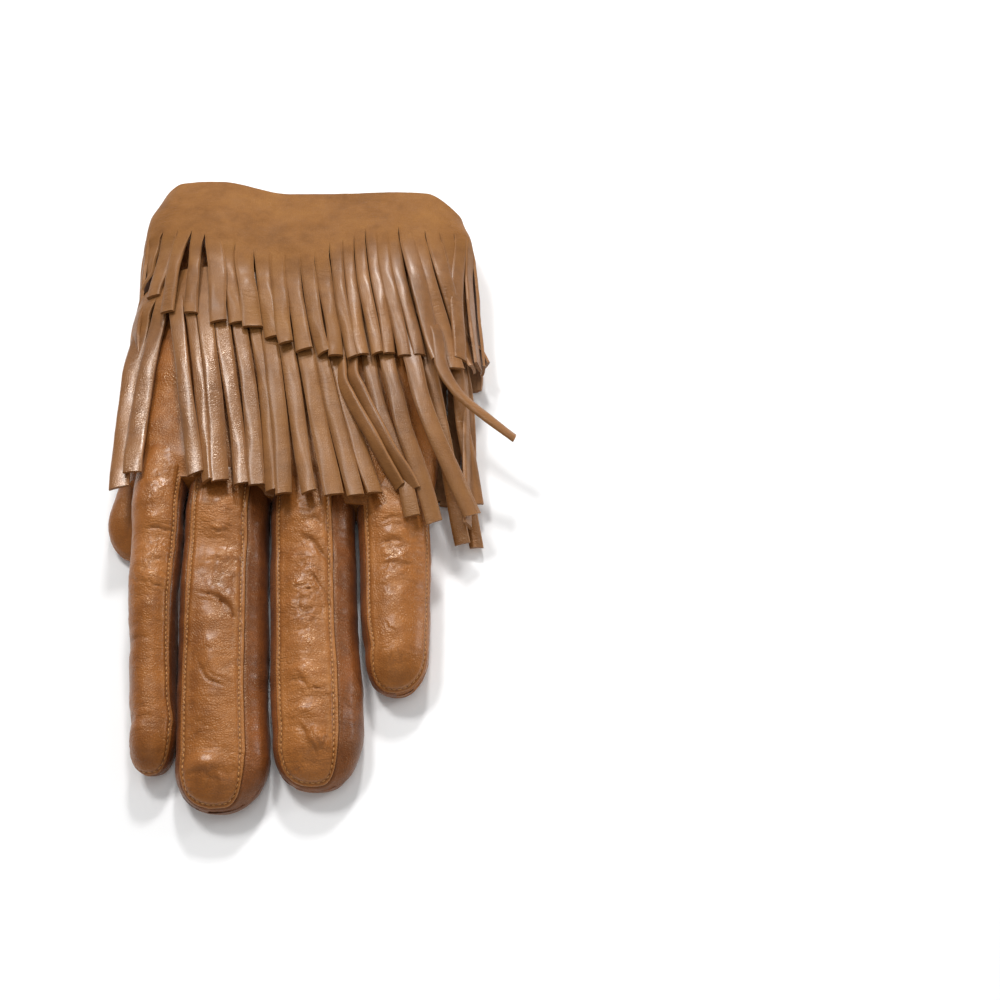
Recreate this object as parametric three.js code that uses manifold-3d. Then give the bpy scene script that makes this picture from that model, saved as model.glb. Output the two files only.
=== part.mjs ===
// A left-hand leather dress glove with two tiers of cut leather fringe round its cuff, lying flat with the back of the hand up.
//
// Frame: millimetres, +Z up. The fingertips point to -Y and the cuff opens to +Y. +X is the little finger's side.
// The origin is the middle of the box round the glove, on the surface that it lies on.
//
// The glove is a soft shell. The trank is the one piece of leather that makes the back and the palm: it folds round the index
// finger's outer side. Three forked fourchettes make the sides between the fingers, and the thumb is a set-in tube that is sewn
// into a hole in the palm and lies folded under it, so it props up the index side. Two strips of leather go round the cuff, one
// over the other, each cut into strands. Here each strip is one skirt of its outer form, and its underside lies under the palm.
import * as THREE from "three";
import { mergeVertices } from "three/addons/utils/BufferGeometryUtils.js";
import Module from "manifold-3d";

const wasm = await Module();
wasm.setup();

// ---- driving sizes, in millimetres ----
const WALL = 1.5; // leather and lining together
const GAP = 0.35; // clearance between two pieces
const STRIP = 1.4; // thickness of a fringe strip lying under the glove
const HANG = 1.3; // thickness of a strip's strands at the glove's two sides
const THUMB_BULGE = 4.2; // how far the tiers rise on the index side
const LAYER = STRIP + GAP; // height that one layer of fringe lifts what lies on it
const CUFF_END = 103.5; // station of the cuff's edge
const TIP_ROUND = 12; // length over which a fingertip rounds off
const THUMB_WALL = 1.1; // the thumb's leather, pressed thin
const THUMB_LIFT = { tip: 7.7, root: 6.0 }; // how far the folded thumb raises the underside of the index side
const TOP_LIFT = 3.0; // how far it raises the back of the hand there
const BODY_HEIGHT = 15; // the hand's height where nothing presses on it
const UPPER_END = 37; // station where the upper tier's strands end
const LOWER_END = -8; // station where the lower tier's strands end
const ROUND_POINTS = { outer: 16, inner: 12 }; // points round a finger's section
const PALM_POINTS = { outer: 30, inner: 24 }; // points round the palm's, the cuff's and a fringe's sections

// ---- tables: outlines seen from above, one row for each station ----
const FINGERS = {
  index: {
    tip: -81.2,
    rows: [
      { y: 17, left: -40.2, right: -25.0, height: 13.0 },
      { y: -4, left: -40.8, right: -25.7, height: 13.6 },
      { y: -26, left: -37.4, right: -24.8, height: 13.6 },
      { y: -43, left: -34.7, right: -23.8, height: 13.4 },
      { y: -61, left: -31.8, right: -21.9, height: 13.0 },
      { y: -70, left: -29.8, right: -19.6, height: 12.2 },
    ],
  },
  middle: {
    tip: -90.4,
    rows: [
      { y: 17, left: -24.2, right: -3.6, height: 13.0 },
      { y: -4, left: -24.9, right: -3.8, height: 13.4 },
      { y: -26, left: -24.0, right: -2.4, height: 13.2 },
      { y: -46, left: -22.6, right: -0.2, height: 13.0 },
      { y: -61, left: -21.1, right: 1.2, height: 12.8 },
      { y: -78, left: -18.9, right: 3.4, height: 12.2 },
    ],
  },
  ring: {
    tip: -85.1,
    rows: [
      { y: 17, left: -2.8, right: 19.4, height: 13.0 },
      { y: -4, left: -3.0, right: 19.6, height: 13.2 },
      { y: -26, left: -1.6, right: 21.4, height: 13.2 },
      { y: -43, left: 0.4, right: 22.8, height: 13.0 },
      { y: -60, left: 2.1, right: 25.2, height: 12.6 },
      { y: -73, left: 4.3, right: 26.2, height: 12.0 },
    ],
  },
  little: {
    tip: -61,
    rows: [
      { y: 14, left: 20.4, right: 40.2, height: 12.6 },
      { y: -6, left: 20.5, right: 40.4, height: 12.6 },
      { y: -24, left: 22.2, right: 41.2, height: 12.8 },
      { y: -42, left: 23.7, right: 41.6, height: 12.8 },
      { y: -50, left: 25.4, right: 41.6, height: 12.6 },
    ],
  },
};
const PALM = [
  { y: -2, left: -41.2, right: 40.8, height: 12.0 },
  { y: 3, left: -41.8, right: 41.4, height: 14.0 },
  { y: 15, left: -42.6, right: 42.2, height: 15.0 },
  { y: 35, left: -42.6, right: 42.8, height: 15.2 },
  { y: 58, left: -41.2, right: 41.6, height: 14.8 },
  { y: 80, left: -42.6, right: 42.8, height: 14.2 },
  { y: CUFF_END, left: -43.4, right: 43.0, height: 12.8 },
];
const THUMB = {
  tip: -20.8,
  rows: [
    { y: 50, left: -38.5, right: -26.0, height: 4.4 },
    { y: 44, left: -41.2, right: -23.6, height: 5.0 },
    { y: 30, left: -43.8, right: -23.8, height: 5.0 },
    { y: 12, left: -46.0, right: -27.4, height: 5.6 },
    { y: -8, left: -48.0, right: -30.4, height: 6.8 },
  ],
};
const THUMB_HOLE = { x: -33, y: 30, halfWidth: 6.2, halfLength: 12.5 };
// A tier's outline: its two sides, its top, the thickness of its strands there, and how square its two upper corners are.
const UPPER = [
  { y: UPPER_END, left: -50.6, right: 55.0, high: 24.6, thick: 2.6, square: 2.6 },
  { y: 58, left: -49.8, right: 53.4, high: 24.4, thick: 2.6, square: 2.8 },
  { y: 80, left: -51.0, right: 52.0, high: 22.8, thick: 2.2, square: 3.6 },
  { y: 93, left: -50.8, right: 50.6, high: 21.0, thick: 1.8, square: 4.4 },
  { y: CUFF_END + 1, left: -48.4, right: 48.0, high: 19.0, thick: 1.6, square: 4.6 },
];
const LOWER = [
  { y: LOWER_END, left: -47.4, right: 51.8, high: 19.6, thick: 2.4, square: 2.6 },
  { y: 4, left: -47.8, right: 51.6, high: 19.8, thick: 2.4, square: 2.6 },
  { y: 20, left: -48.2, right: 51.2, high: 20.8, thick: 2.2, square: 2.6 },
  { y: UPPER_END - 1, left: -48.4, right: 50.6, high: 21.4, thick: 2.0, square: 2.6 },
  { y: 55, left: -46.8, right: 47.6, high: 21.2, thick: 1.8, square: 2.6 },
  { y: 68, left: -45.4, right: 45.6, high: 20.6, thick: 1.5, square: 3.0 },
];
// Forks between the fingers: the station where each ends on the back and the palm, and where its two seams run, as shares of the
// fingers' half widths.
const FORKS = [
  { name: "fourchette_index_middle", a: "index", b: "middle", apex: 9, seamA: 0.72, seamB: 0.8 },
  { name: "fourchette_middle_ring", a: "middle", b: "ring", apex: 8, seamA: 0.54, seamB: 0.78 },
  { name: "fourchette_ring_little", a: "ring", b: "little", apex: 1, seamA: 0.5, seamB: 0.72 },
];
const COLOURS = { tan: 0x9c622f, edge: 0x8f5c33, fringe: 0x96633c };

// ---- small helpers ----
const smooth = (v, a, b) => THREE.MathUtils.smoothstep(v, a, b);
const lerp = THREE.MathUtils.lerp;

// A row of a table at any station, between its two neighbours.
function rowAt(rows, y) {
  const sorted = [...rows].sort((p, q) => p.y - q.y);
  if (y <= sorted[0].y) return { ...sorted[0], y };
  if (y >= sorted.at(-1).y) return { ...sorted.at(-1), y };
  const k = sorted.findIndex((r) => r.y >= y);
  const p = sorted[k - 1],
    q = sorted[k],
    t = (y - p.y) / (q.y - p.y);
  return Object.fromEntries(
    Object.keys(p).map((key) => [key, lerp(p[key], q[key], t)]),
  );
}

// Stations where the palm's underside starts and ends its steps up on the layers of fringe that lie under it.
const STEPS = { lower: [-22, -10.5], upper: [24, 34.5] };
const ramp = (y, [from, to]) => THREE.MathUtils.clamp((y - from) / (to - from), 0, 1);
const under = (y) => LAYER * (ramp(y, STEPS.lower) + ramp(y, STEPS.upper));
// A table's stations with those steps added, from the cuff's side to the fingertips.
const stationsOf = (rows) => {
  const ys = rows.map((r) => r.y),
    steps = [...STEPS.lower, ...STEPS.upper].filter(
      (y) =>
        y > Math.min(...ys) + 0.5 &&
        y < Math.max(...ys) - 0.5 &&
        ys.every((other) => Math.abs(other - y) > 0.3),
    );
  return [...ys, ...steps].sort((p, q) => q - p);
};
// The index side, from 0 to 1, where the folded thumb lies under the hand.
const overThumb = (x, y) => (1 - smooth(x, -29, -8)) * smooth(y, -60, -28);
const lift = (x, y) =>
  overThumb(x, y) *
  lerp(THUMB_LIFT.tip, THUMB_LIFT.root, ramp(y, [-4, 20])) *
  (1 - smooth(y, 50, 76));

// One closed section at a station: rounded on top and flat underneath.
// raise(x, y) lifts a point, and squeeze(x, y) is the share of its height that is left.
function section(row, count, style) {
  const { y, left, right, low, high } = row;
  const a = (right - left) / 2,
    mid = lerp(low, high, style.waist ?? 0.42),
    points = [];
  for (let i = 0; i < count; i++) {
    const t = (2 * Math.PI * (i + 0.5)) / count,
      c = Math.cos(t),
      s = Math.sin(t),
      n = s > 0 ? style.top : style.bottom,
      r = Math.pow(
        Math.pow(Math.abs(c), n) + Math.pow(Math.abs(s), n),
        -1 / n,
      ),
      x = (left + right) / 2 + a * r * c,
      flat = s > 0 ? r * s : Math.max(1.12 * r * s, -1),
      z = mid + (s > 0 ? high - mid : mid - low) * flat;
    points.push(style.place(x, y, z, s));
  }
  return points;
}

// A closed tube through sections in order, with flat ends.
function loft(rings) {
  const count = rings[0].length,
    position = [],
    index = [];
  for (const ring of rings) for (const p of ring) position.push(p.x, p.y, p.z);
  for (let k = 0; k + 1 < rings.length; k++)
    for (let i = 0; i < count; i++) {
      const j = (i + 1) % count,
        a = k * count + i,
        b = k * count + j,
        c = a + count,
        d = b + count;
      index.push(a, b, c, b, d, c);
    }
  for (const [k, turn] of [
    [0, false],
    [rings.length - 1, true],
  ]) {
    const centre = new THREE.Vector3();
    for (const p of rings[k]) centre.add(p);
    centre.divideScalar(count);
    const hub = position.length / 3;
    position.push(centre.x, centre.y, centre.z);
    for (let i = 0; i < count; i++) {
      const a = k * count + i,
        b = k * count + ((i + 1) % count);
      index.push(hub, ...(turn ? [a, b] : [b, a]));
    }
  }
  const geometry = new THREE.BufferGeometry();
  geometry.setAttribute(
    "position",
    new THREE.Float32BufferAttribute(position, 3),
  );
  geometry.setIndex(index);
  return solid(geometry);
}

function solid(geometry) {
  const g = geometry.clone();
  g.deleteAttribute("normal");
  g.deleteAttribute("uv");
  const merged = mergeVertices(g, 1e-4);
  const made = (flip) => {
    const triVerts = new Uint32Array(merged.index.array);
    if (flip)
      for (let i = 0; i < triVerts.length; i += 3)
        [triVerts[i + 1], triVerts[i + 2]] = [triVerts[i + 2], triVerts[i + 1]];
    return new wasm.Manifold(
      new wasm.Mesh({
        numProp: 3,
        vertProperties: new Float32Array(merged.attributes.position.array),
        triVerts,
      }),
    );
  };
  const first = made(false);
  return first.volume() < 0 ? made(true) : first;
}

// A vertical prism over a plan outline.
function prism(outline, from, to) {
  const shape = new THREE.Shape(outline.map(([x, y]) => new THREE.Vector2(x, y)));
  const g = new THREE.ExtrudeGeometry(shape, {
    depth: to - from,
    bevelEnabled: false,
    curveSegments: 12,
  });
  g.translate(0, 0, from);
  return solid(g);
}

const union = (list) => list.reduce((a, b) => a.add(b));

// ---- the glove's body ----
const bodyPlace = (x, y, z) => {
  const floor = lift(x, y),
    top = TOP_LIFT * overThumb(x, y);
  return new THREE.Vector3(
    x,
    y,
    under(y) + floor + z * (1 + (top - floor) / BODY_HEIGHT),
  );
};
const FINGER_STYLE = { top: 2.15, bottom: 3.2, place: bodyPlace };
const PALM_STYLE = { top: 2.6, bottom: 3.6, place: bodyPlace };
const thumbPlace = (x, y, z) => new THREE.Vector3(x, y, under(y) + z);
const THUMB_STYLE = { top: 2.6, bottom: 3.0, place: thumbPlace };

// Sections of a finger from its root to its tip; inset is how far inside the leather's outer face they lie.
function fingerRings(finger, inset, style) {
  const last = finger.rows.at(-1).y,
    tip = finger.tip + inset,
    stations = stationsOf(finger.rows);
  for (const d of inset ? [6.5, 2.4, 0.4] : [8.6, 5.0, 2.2, 0.3])
    if (tip + d < last - 0.5) stations.push(tip + d);
  return stations.map((y) => {
    const r = rowAt(finger.rows, y),
      d = Math.max(y - tip, 0),
      t = Math.min(d / TIP_ROUND, 1),
      wide = Math.pow(1 - Math.pow(1 - t, 2.2), 1 / 2.2),
      tall = Math.pow(1 - Math.pow(1 - Math.min(d / 8, 1), 2.2), 1 / 2.2),
      centre = (r.left + r.right) / 2,
      a = Math.max(((r.right - r.left) / 2 - inset) * wide, 0.6),
      half = Math.max((r.height / 2 - inset) * tall, 0.4),
      level = lerp(Math.max(inset, 0.9 * half + inset * 0.4), r.height / 2, 0.5);
    return section(
      {
        y,
        left: centre - a,
        right: centre + a,
        low: Math.max(level - half, inset),
        high: Math.max(level - half, inset) + 2 * half,
      },
      inset ? ROUND_POINTS.inner : ROUND_POINTS.outer,
      style,
    );
  });
}

// The cuff's edge isn't straight: it runs out over the index side and falls away at its two corners.
const hem = (x, y) =>
  smooth(y, 82, CUFF_END) *
  (1.5 * (1 - smooth(x, -38, -8)) -
    5 * smooth(-x, 42, 50) +
    smooth(x, 5, 30) -
    8 * smooth(x, 36, 50));
// The palm's front edge steps back at the little finger's crotch.
const front = (x) => -7 * smooth(x, 12, 26);
function palmRings(inset, reach) {
  const rows = stationsOf(PALM).reverse().map((y) => rowAt(PALM, y));
  if (reach) rows.push({ ...PALM.at(-1), y: CUFF_END + reach });
  return rows.map((r, k) => {
    const y = k === 0 ? r.y + inset : k === 1 ? r.y + inset / 2 : r.y;
    return section(
      {
        y,
        left: r.left + inset,
        right: r.right - inset,
        low: inset,
        high: r.height - inset,
      },
      inset ? PALM_POINTS.inner : PALM_POINTS.outer,
      PALM_STYLE,
    ).map((p) => {
      p.y += front(p.x) * (1 - smooth(y, 3, 22)) + hem(p.x, y);
      return p;
    });
  });
}

const names = Object.keys(FINGERS);
const outer = union([
  loft(palmRings(0, 0)),
  ...names.map((n) => loft(fingerRings(FINGERS[n], 0, FINGER_STYLE))),
]);
const hollow = union([
  loft(palmRings(WALL, 6)),
  ...names.map((n) => loft(fingerRings(FINGERS[n], WALL, FINGER_STYLE))),
]);
const shell = outer.subtract(hollow);

// The space of a fourchette: from one finger's seam to just past that finger's side, and the same on the next finger, down to
// both tips. grow widens it all round.
function forkSpace(fork, grow) {
  const a = FINGERS[fork.a],
    b = FINGERS[fork.b],
    middle = (rowAt(a.rows, 4).right + rowAt(b.rows, 4).left) / 2;
  const half = (finger, side, share) => {
    const seam = [],
      edge = [];
    for (const y of [4, -10, -26, -43, -60, -72]) {
      if (y > fork.apex - 4 || y < finger.tip + 9) continue;
      const r = rowAt(finger.rows, y),
        w = (r.right - r.left) / 2,
        x = (r.left + r.right) / 2;
      seam.push([x + side * (w * share - grow), y]);
      edge.push([x + side * (w + 0.45), y]);
    }
    const r = rowAt(finger.rows, finger.tip),
      w = (r.right - r.left) / 2,
      x = (r.left + r.right) / 2;
    const outline = [
      [middle - side * 0.5, fork.apex + grow],
      ...seam,
      [x + side * (w * Math.max(share, 0.72) - grow), finger.tip + 5.2 - 1.5 * grow],
      [x + side * (w + 0.45), finger.tip + 3.2 - 1.5 * grow],
      ...edge.reverse(),
      [middle + side * 0.5, fork.apex + grow],
    ];
    return prism(outline, -5, 40);
  };
  return half(a, 1, fork.seamA).add(half(b, -1, fork.seamB));
}

let trank = shell;
const forks = [];
for (const fork of FORKS) {
  trank = trank.subtract(forkSpace(fork, 1.4 * GAP));
  forks.push([fork.name, shell.intersect(forkSpace(fork, 0))]);
}

// ---- the thumb, folded under the palm ----
function ellipse(cx, cy, a, b, count) {
  const out = [];
  for (let i = 0; i < count; i++) {
    const t = (2 * Math.PI * i) / count;
    out.push([cx + a * Math.cos(t), cy + b * Math.sin(t)]);
  }
  return out;
}
const hole = (grow, from, to) =>
  prism(
    ellipse(
      THUMB_HOLE.x,
      THUMB_HOLE.y,
      THUMB_HOLE.halfWidth + grow,
      THUMB_HOLE.halfLength + grow,
      24,
    ),
    from,
    to,
  );
const level = under(THUMB_HOLE.y);
trank = trank.subtract(hole(0, level + 1, level + 11));
const thumb = loft(fingerRings(THUMB, 0, THUMB_STYLE))
  .subtract(loft(fingerRings(THUMB, THUMB_WALL, THUMB_STYLE)))
  .subtract(hole(0, level + 3.2, level + 11));

// ---- the two tiers of fringe ----
// A skirt round the glove: its top lies over the hand and rises over the thumb, its underside is one flat layer.
function skirt(rows, bottom) {
  const all = stationsOf(rows)
    .reverse()
    .map((y) => rowAt(rows, y));
  const rings = (inset) =>
    all.map((r, k) => {
      const reach = inset && k === 0 ? -3 : inset && k === all.length - 1 ? 3 : 0;
      const t = inset ? r.thick : 0,
        hang = inset ? HANG : 0,
        floor = bottom(r.y);
      return section(
        {
          y: r.y + reach,
          left: r.left + hang,
          right: r.right - hang,
          low: floor + (inset ? STRIP : 0),
          high: r.high - t,
        },
        PALM_POINTS.outer,
        {
          top: r.square,
          bottom: 7,
          waist: 0.32 + 0.18 * smooth(r.y, 60, 93),
          place: (x, y, z, s) =>
            new THREE.Vector3(
              x,
              y + hem(x, r.y),
              z + (s > 0 ? THUMB_BULGE * overThumb(x, r.y) * smooth(s, 0, 0.5) : 0),
            ),
        },
      );
    });
  return loft(rings(0)).subtract(loft(rings(1)));
}
const upper = skirt(UPPER, () => 0);
const lower = skirt(LOWER, (y) => LAYER * ramp(y, STEPS.upper)).subtract(
  loft(fingerRings(THUMB, -1.5 * GAP, THUMB_STYLE)),
);

// ---- the assembly ----
const tan = new THREE.MeshStandardMaterial({
  color: COLOURS.tan,
  roughness: 0.42,
  metalness: 0,
});
const side = new THREE.MeshStandardMaterial({
  color: COLOURS.edge,
  roughness: 0.45,
  metalness: 0,
});
const fringe = new THREE.MeshStandardMaterial({
  color: COLOURS.fringe,
  roughness: 0.46,
  metalness: 0,
});

function mesh(name, part, material) {
  const m = part.getMesh(),
    n = m.numProp,
    v = new Float32Array(m.numVert * 3);
  for (let i = 0; i < m.numVert; i++)
    v.set(m.vertProperties.subarray(i * n, i * n + 3), i * 3);
  const g = new THREE.BufferGeometry();
  g.setAttribute("position", new THREE.BufferAttribute(v, 3));
  g.setIndex(new THREE.BufferAttribute(new Uint32Array(m.triVerts), 1));
  g.computeVertexNormals();
  const made = new THREE.Mesh(g, material);
  made.name = name;
  return made;
}

// Keeps a part's largest body and drops the crumbs that a cut leaves.
function whole(part) {
  const bodies = part.decompose().sort((p, q) => q.volume() - p.volume());
  return bodies[0];
}

const glove = new THREE.Group();
glove.add(mesh("trank", whole(trank), tan));
for (const [name, part] of forks) glove.add(mesh(name, whole(part), side));
glove.add(mesh("thumb", whole(thumb), tan));
glove.add(mesh("upper_fringe", whole(upper), fringe));
glove.add(mesh("lower_fringe", whole(lower), fringe));

// The box round the glove is centred on the origin and stands on Z = 0.
const box = new THREE.Box3().setFromObject(glove);
const centre = box.getCenter(new THREE.Vector3());
for (const child of glove.children)
  child.position.set(-centre.x, -centre.y, -box.min.z);

export default glove;
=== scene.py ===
import math

import bpy
import numpy as np
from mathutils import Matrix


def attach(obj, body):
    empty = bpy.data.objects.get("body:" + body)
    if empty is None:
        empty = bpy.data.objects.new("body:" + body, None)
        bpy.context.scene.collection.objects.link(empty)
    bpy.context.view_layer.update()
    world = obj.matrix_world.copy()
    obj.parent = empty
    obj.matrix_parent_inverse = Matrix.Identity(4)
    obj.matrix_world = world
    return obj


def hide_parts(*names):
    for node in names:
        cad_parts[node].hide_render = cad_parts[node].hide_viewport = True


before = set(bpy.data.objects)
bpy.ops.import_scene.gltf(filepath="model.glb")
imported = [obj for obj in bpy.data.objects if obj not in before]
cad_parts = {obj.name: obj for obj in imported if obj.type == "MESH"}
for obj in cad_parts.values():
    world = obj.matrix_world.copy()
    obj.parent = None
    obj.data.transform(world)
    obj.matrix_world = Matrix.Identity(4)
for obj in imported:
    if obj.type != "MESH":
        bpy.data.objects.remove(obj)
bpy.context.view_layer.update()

# ---------------------------------------------------------------- sizes, in millimetres, as in the part's source
MM = 0.001
SHIFT = np.array([-2.0, -7.925, 0.0])  # from the tables' frame to the object's own
LEATHER = 0.9
STRIP = 1.4
LAYER = 1.75
BODY_HEIGHT = 15.0
TOP_LIFT = 3.0
THUMB_LIFT = (7.7, 6.0)
THUMB_BULGE = 4.2
CUFF_END = 103.5
UPPER_END = 37.0
LOWER_END = -8.0
STEP_LOWER = (-22.0, -10.5)
STEP_UPPER = (24.0, 34.5)

# y, left, right, height
FINGERS = {
    "index": dict(tip=-81.6, round=9.6, rows=[(17, -40.2, -25.0, 13.0), (-4, -40.8, -25.7, 13.6), (-26, -37.6, -24.8, 13.6), (-43, -35.1, -23.8, 13.4), (-61, -32.3, -21.7, 13.0), (-70, -30.4, -19.4, 12.2)]),
    "middle": dict(tip=-90.8, round=13.0, rows=[(17, -24.2, -3.6, 13.0), (-4, -24.9, -3.8, 13.4), (-26, -24.0, -2.4, 13.2), (-46, -22.6, -0.2, 13.0), (-61, -21.1, 1.4, 12.8), (-78, -18.9, 3.9, 12.2)]),
    "ring": dict(tip=-85.5, round=13.0, rows=[(17, -2.8, 19.4, 13.0), (-4, -3.0, 19.6, 13.2), (-26, -1.6, 21.4, 13.2), (-43, 0.4, 22.9, 13.0), (-60, 2.1, 25.3, 12.6), (-73, 4.2, 26.3, 12.0)]),
    "little": dict(tip=-61.2, round=11.0, rows=[(14, 20.4, 40.2, 12.6), (-6, 20.5, 40.4, 12.6), (-24, 22.2, 41.2, 12.8), (-42, 23.7, 41.6, 12.8), (-50, 25.4, 41.6, 12.6)]),
}
PALM = [(-2, -41.2, 40.8, 12.0), (3, -41.8, 41.4, 14.0), (15, -42.6, 42.2, 15.0), (35, -42.6, 42.8, 15.2), (58, -41.2, 41.6, 14.8), (80, -42.6, 42.8, 14.2), (CUFF_END, -43.4, 43.0, 12.8)]
THUMB = dict(tip=-20.8, round=11.5, rows=[(50, -38.5, -26.0, 4.4), (44, -41.2, -23.6, 5.0), (30, -43.8, -23.8, 5.0), (12, -46.0, -27.4, 5.6), (-8, -48.0, -30.4, 6.8)])
# y, left, right, high, thick, square
UPPER = [(UPPER_END, -50.6, 55.0, 24.6, 2.6, 2.6), (58, -49.8, 53.4, 24.4, 2.6, 2.8), (80, -51.0, 52.0, 22.8, 2.2, 3.6), (93, -50.8, 50.6, 21.0, 1.8, 4.4), (CUFF_END + 1, -48.4, 48.0, 19.0, 1.6, 4.6)]
LOWER_OUT = 4.2  # how far the lower tier's strands bow out on the index finger's side, just under the upper tier
LOWER = [(LOWER_END, -47.4, 51.8, 19.6, 2.4, 2.6), (4, -47.8, 51.6, 19.8, 2.4, 2.6), (20, -48.2, 51.2, 20.8, 2.2, 2.6), (UPPER_END - 1, -48.4, 50.6, 21.4, 2.0, 2.6), (55, -46.8, 47.6, 21.2, 1.8, 2.6), (68, -45.4, 45.6, 20.6, 1.5, 3.0)]


# ---------------------------------------------------------------- small helpers
def clip01(v):
    return np.clip(v, 0.0, 1.0)


def smooth(v, a, b):
    t = clip01((np.asarray(v, float) - a) / (b - a))
    return t * t * (3 - 2 * t)


def curve(xs, ys, x):
    """A smooth curve through points whose xs rise, with no overshoot to speak of."""
    xs = np.asarray(xs, float)
    ys = np.asarray(ys, float)
    d = np.diff(ys) / np.diff(xs)
    m = np.zeros_like(ys)
    m[1:-1] = np.where(d[:-1] * d[1:] > 0, 2 * d[:-1] * d[1:] / (d[:-1] + d[1:] + 1e-12), 0.0)
    m[0], m[-1] = d[0], d[-1]
    x = np.asarray(x, float)
    k = np.clip(np.searchsorted(xs, x) - 1, 0, len(xs) - 2)
    h = xs[k + 1] - xs[k]
    t = np.clip((x - xs[k]) / h, 0, 1)
    return (2 * t**3 - 3 * t**2 + 1) * ys[k] + (t**3 - 2 * t**2 + t) * h * m[k] + (-2 * t**3 + 3 * t**2) * ys[k + 1] + (t**3 - t**2) * h * m[k + 1]


def column(rows, k, y):
    r = sorted(rows)
    return curve([a[0] for a in r], [a[k] for a in r], y)


def _hash(ix, iy, iz, seed):
    h = (ix.astype(np.int64) * 374761393 + iy.astype(np.int64) * 668265263 + iz.astype(np.int64) * 2147483647 + seed * 144269504) & 0xFFFFFFFF
    h = ((h ^ (h >> 13)) * 1274126177) & 0xFFFFFFFF
    h = (h ^ (h >> 16)) & 0xFFFFFFFF
    return h / 4294967295.0 * 2 - 1


def noise(p, scale, seed=1):
    """Smooth value noise from -1 to 1 at points p, with cells scale millimetres wide along each axis."""
    q = np.asarray(p, float) / np.asarray(scale, float)
    i = np.floor(q).astype(int)
    f = q - i
    f = f * f * f * (f * (f * 6 - 15) + 10)
    out = 0
    for dx in (0, 1):
        for dy in (0, 1):
            for dz in (0, 1):
                w = (f[..., 0] if dx else 1 - f[..., 0]) * (f[..., 1] if dy else 1 - f[..., 1]) * (f[..., 2] if dz else 1 - f[..., 2])
                out = out + w * _hash(i[..., 0] + dx, i[..., 1] + dy, i[..., 2] + dz, seed)
    return out


def fbm(p, scale, seed=1, octaves=3):
    out, amp = 0, 1.0
    s = np.asarray(scale, float)
    for k in range(octaves):
        out = out + amp * noise(p, s / 2**k, seed + 17 * k)
        amp *= 0.5
    return out / 1.75


def under(y):
    return LAYER * (smooth(y, *STEP_LOWER) + smooth(y, *STEP_UPPER))


def over_thumb(x, y):
    return (1 - smooth(x, -29, -8)) * smooth(y, -60, -28)


def lift(x, y):
    r = clip01((np.asarray(y, float) + 4) / 24)
    return over_thumb(x, y) * (THUMB_LIFT[0] + (THUMB_LIFT[1] - THUMB_LIFT[0]) * r) * (1 - smooth(y, 50, 76))


def body_place(x, y, z):
    floor = lift(x, y)
    top = TOP_LIFT * over_thumb(x, y)
    return np.stack(np.broadcast_arrays(x, y, under(y) + floor + z * (1 + (top - floor) / BODY_HEIGHT)), -1)


def thumb_place(x, y, z):
    return np.stack(np.broadcast_arrays(x, y, under(y) + z), -1)


def hem(x, y):
    return smooth(y, 82, CUFF_END) * (1.5 * (1 - smooth(x, -38, -8)) - 5 * smooth(-np.asarray(x), 42, 50) + smooth(x, 5, 30) - 8 * smooth(x, 36, 50))


# ---------------------------------------------------------------- materials
def srgb(hexa):
    out = []
    for k in (0, 2, 4):
        c = int(hexa[k : k + 2], 16) / 255
        out.append(c / 12.92 if c <= 0.04045 else ((c + 0.055) / 1.055) ** 2.4)
    return (*out, 1.0)


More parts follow.
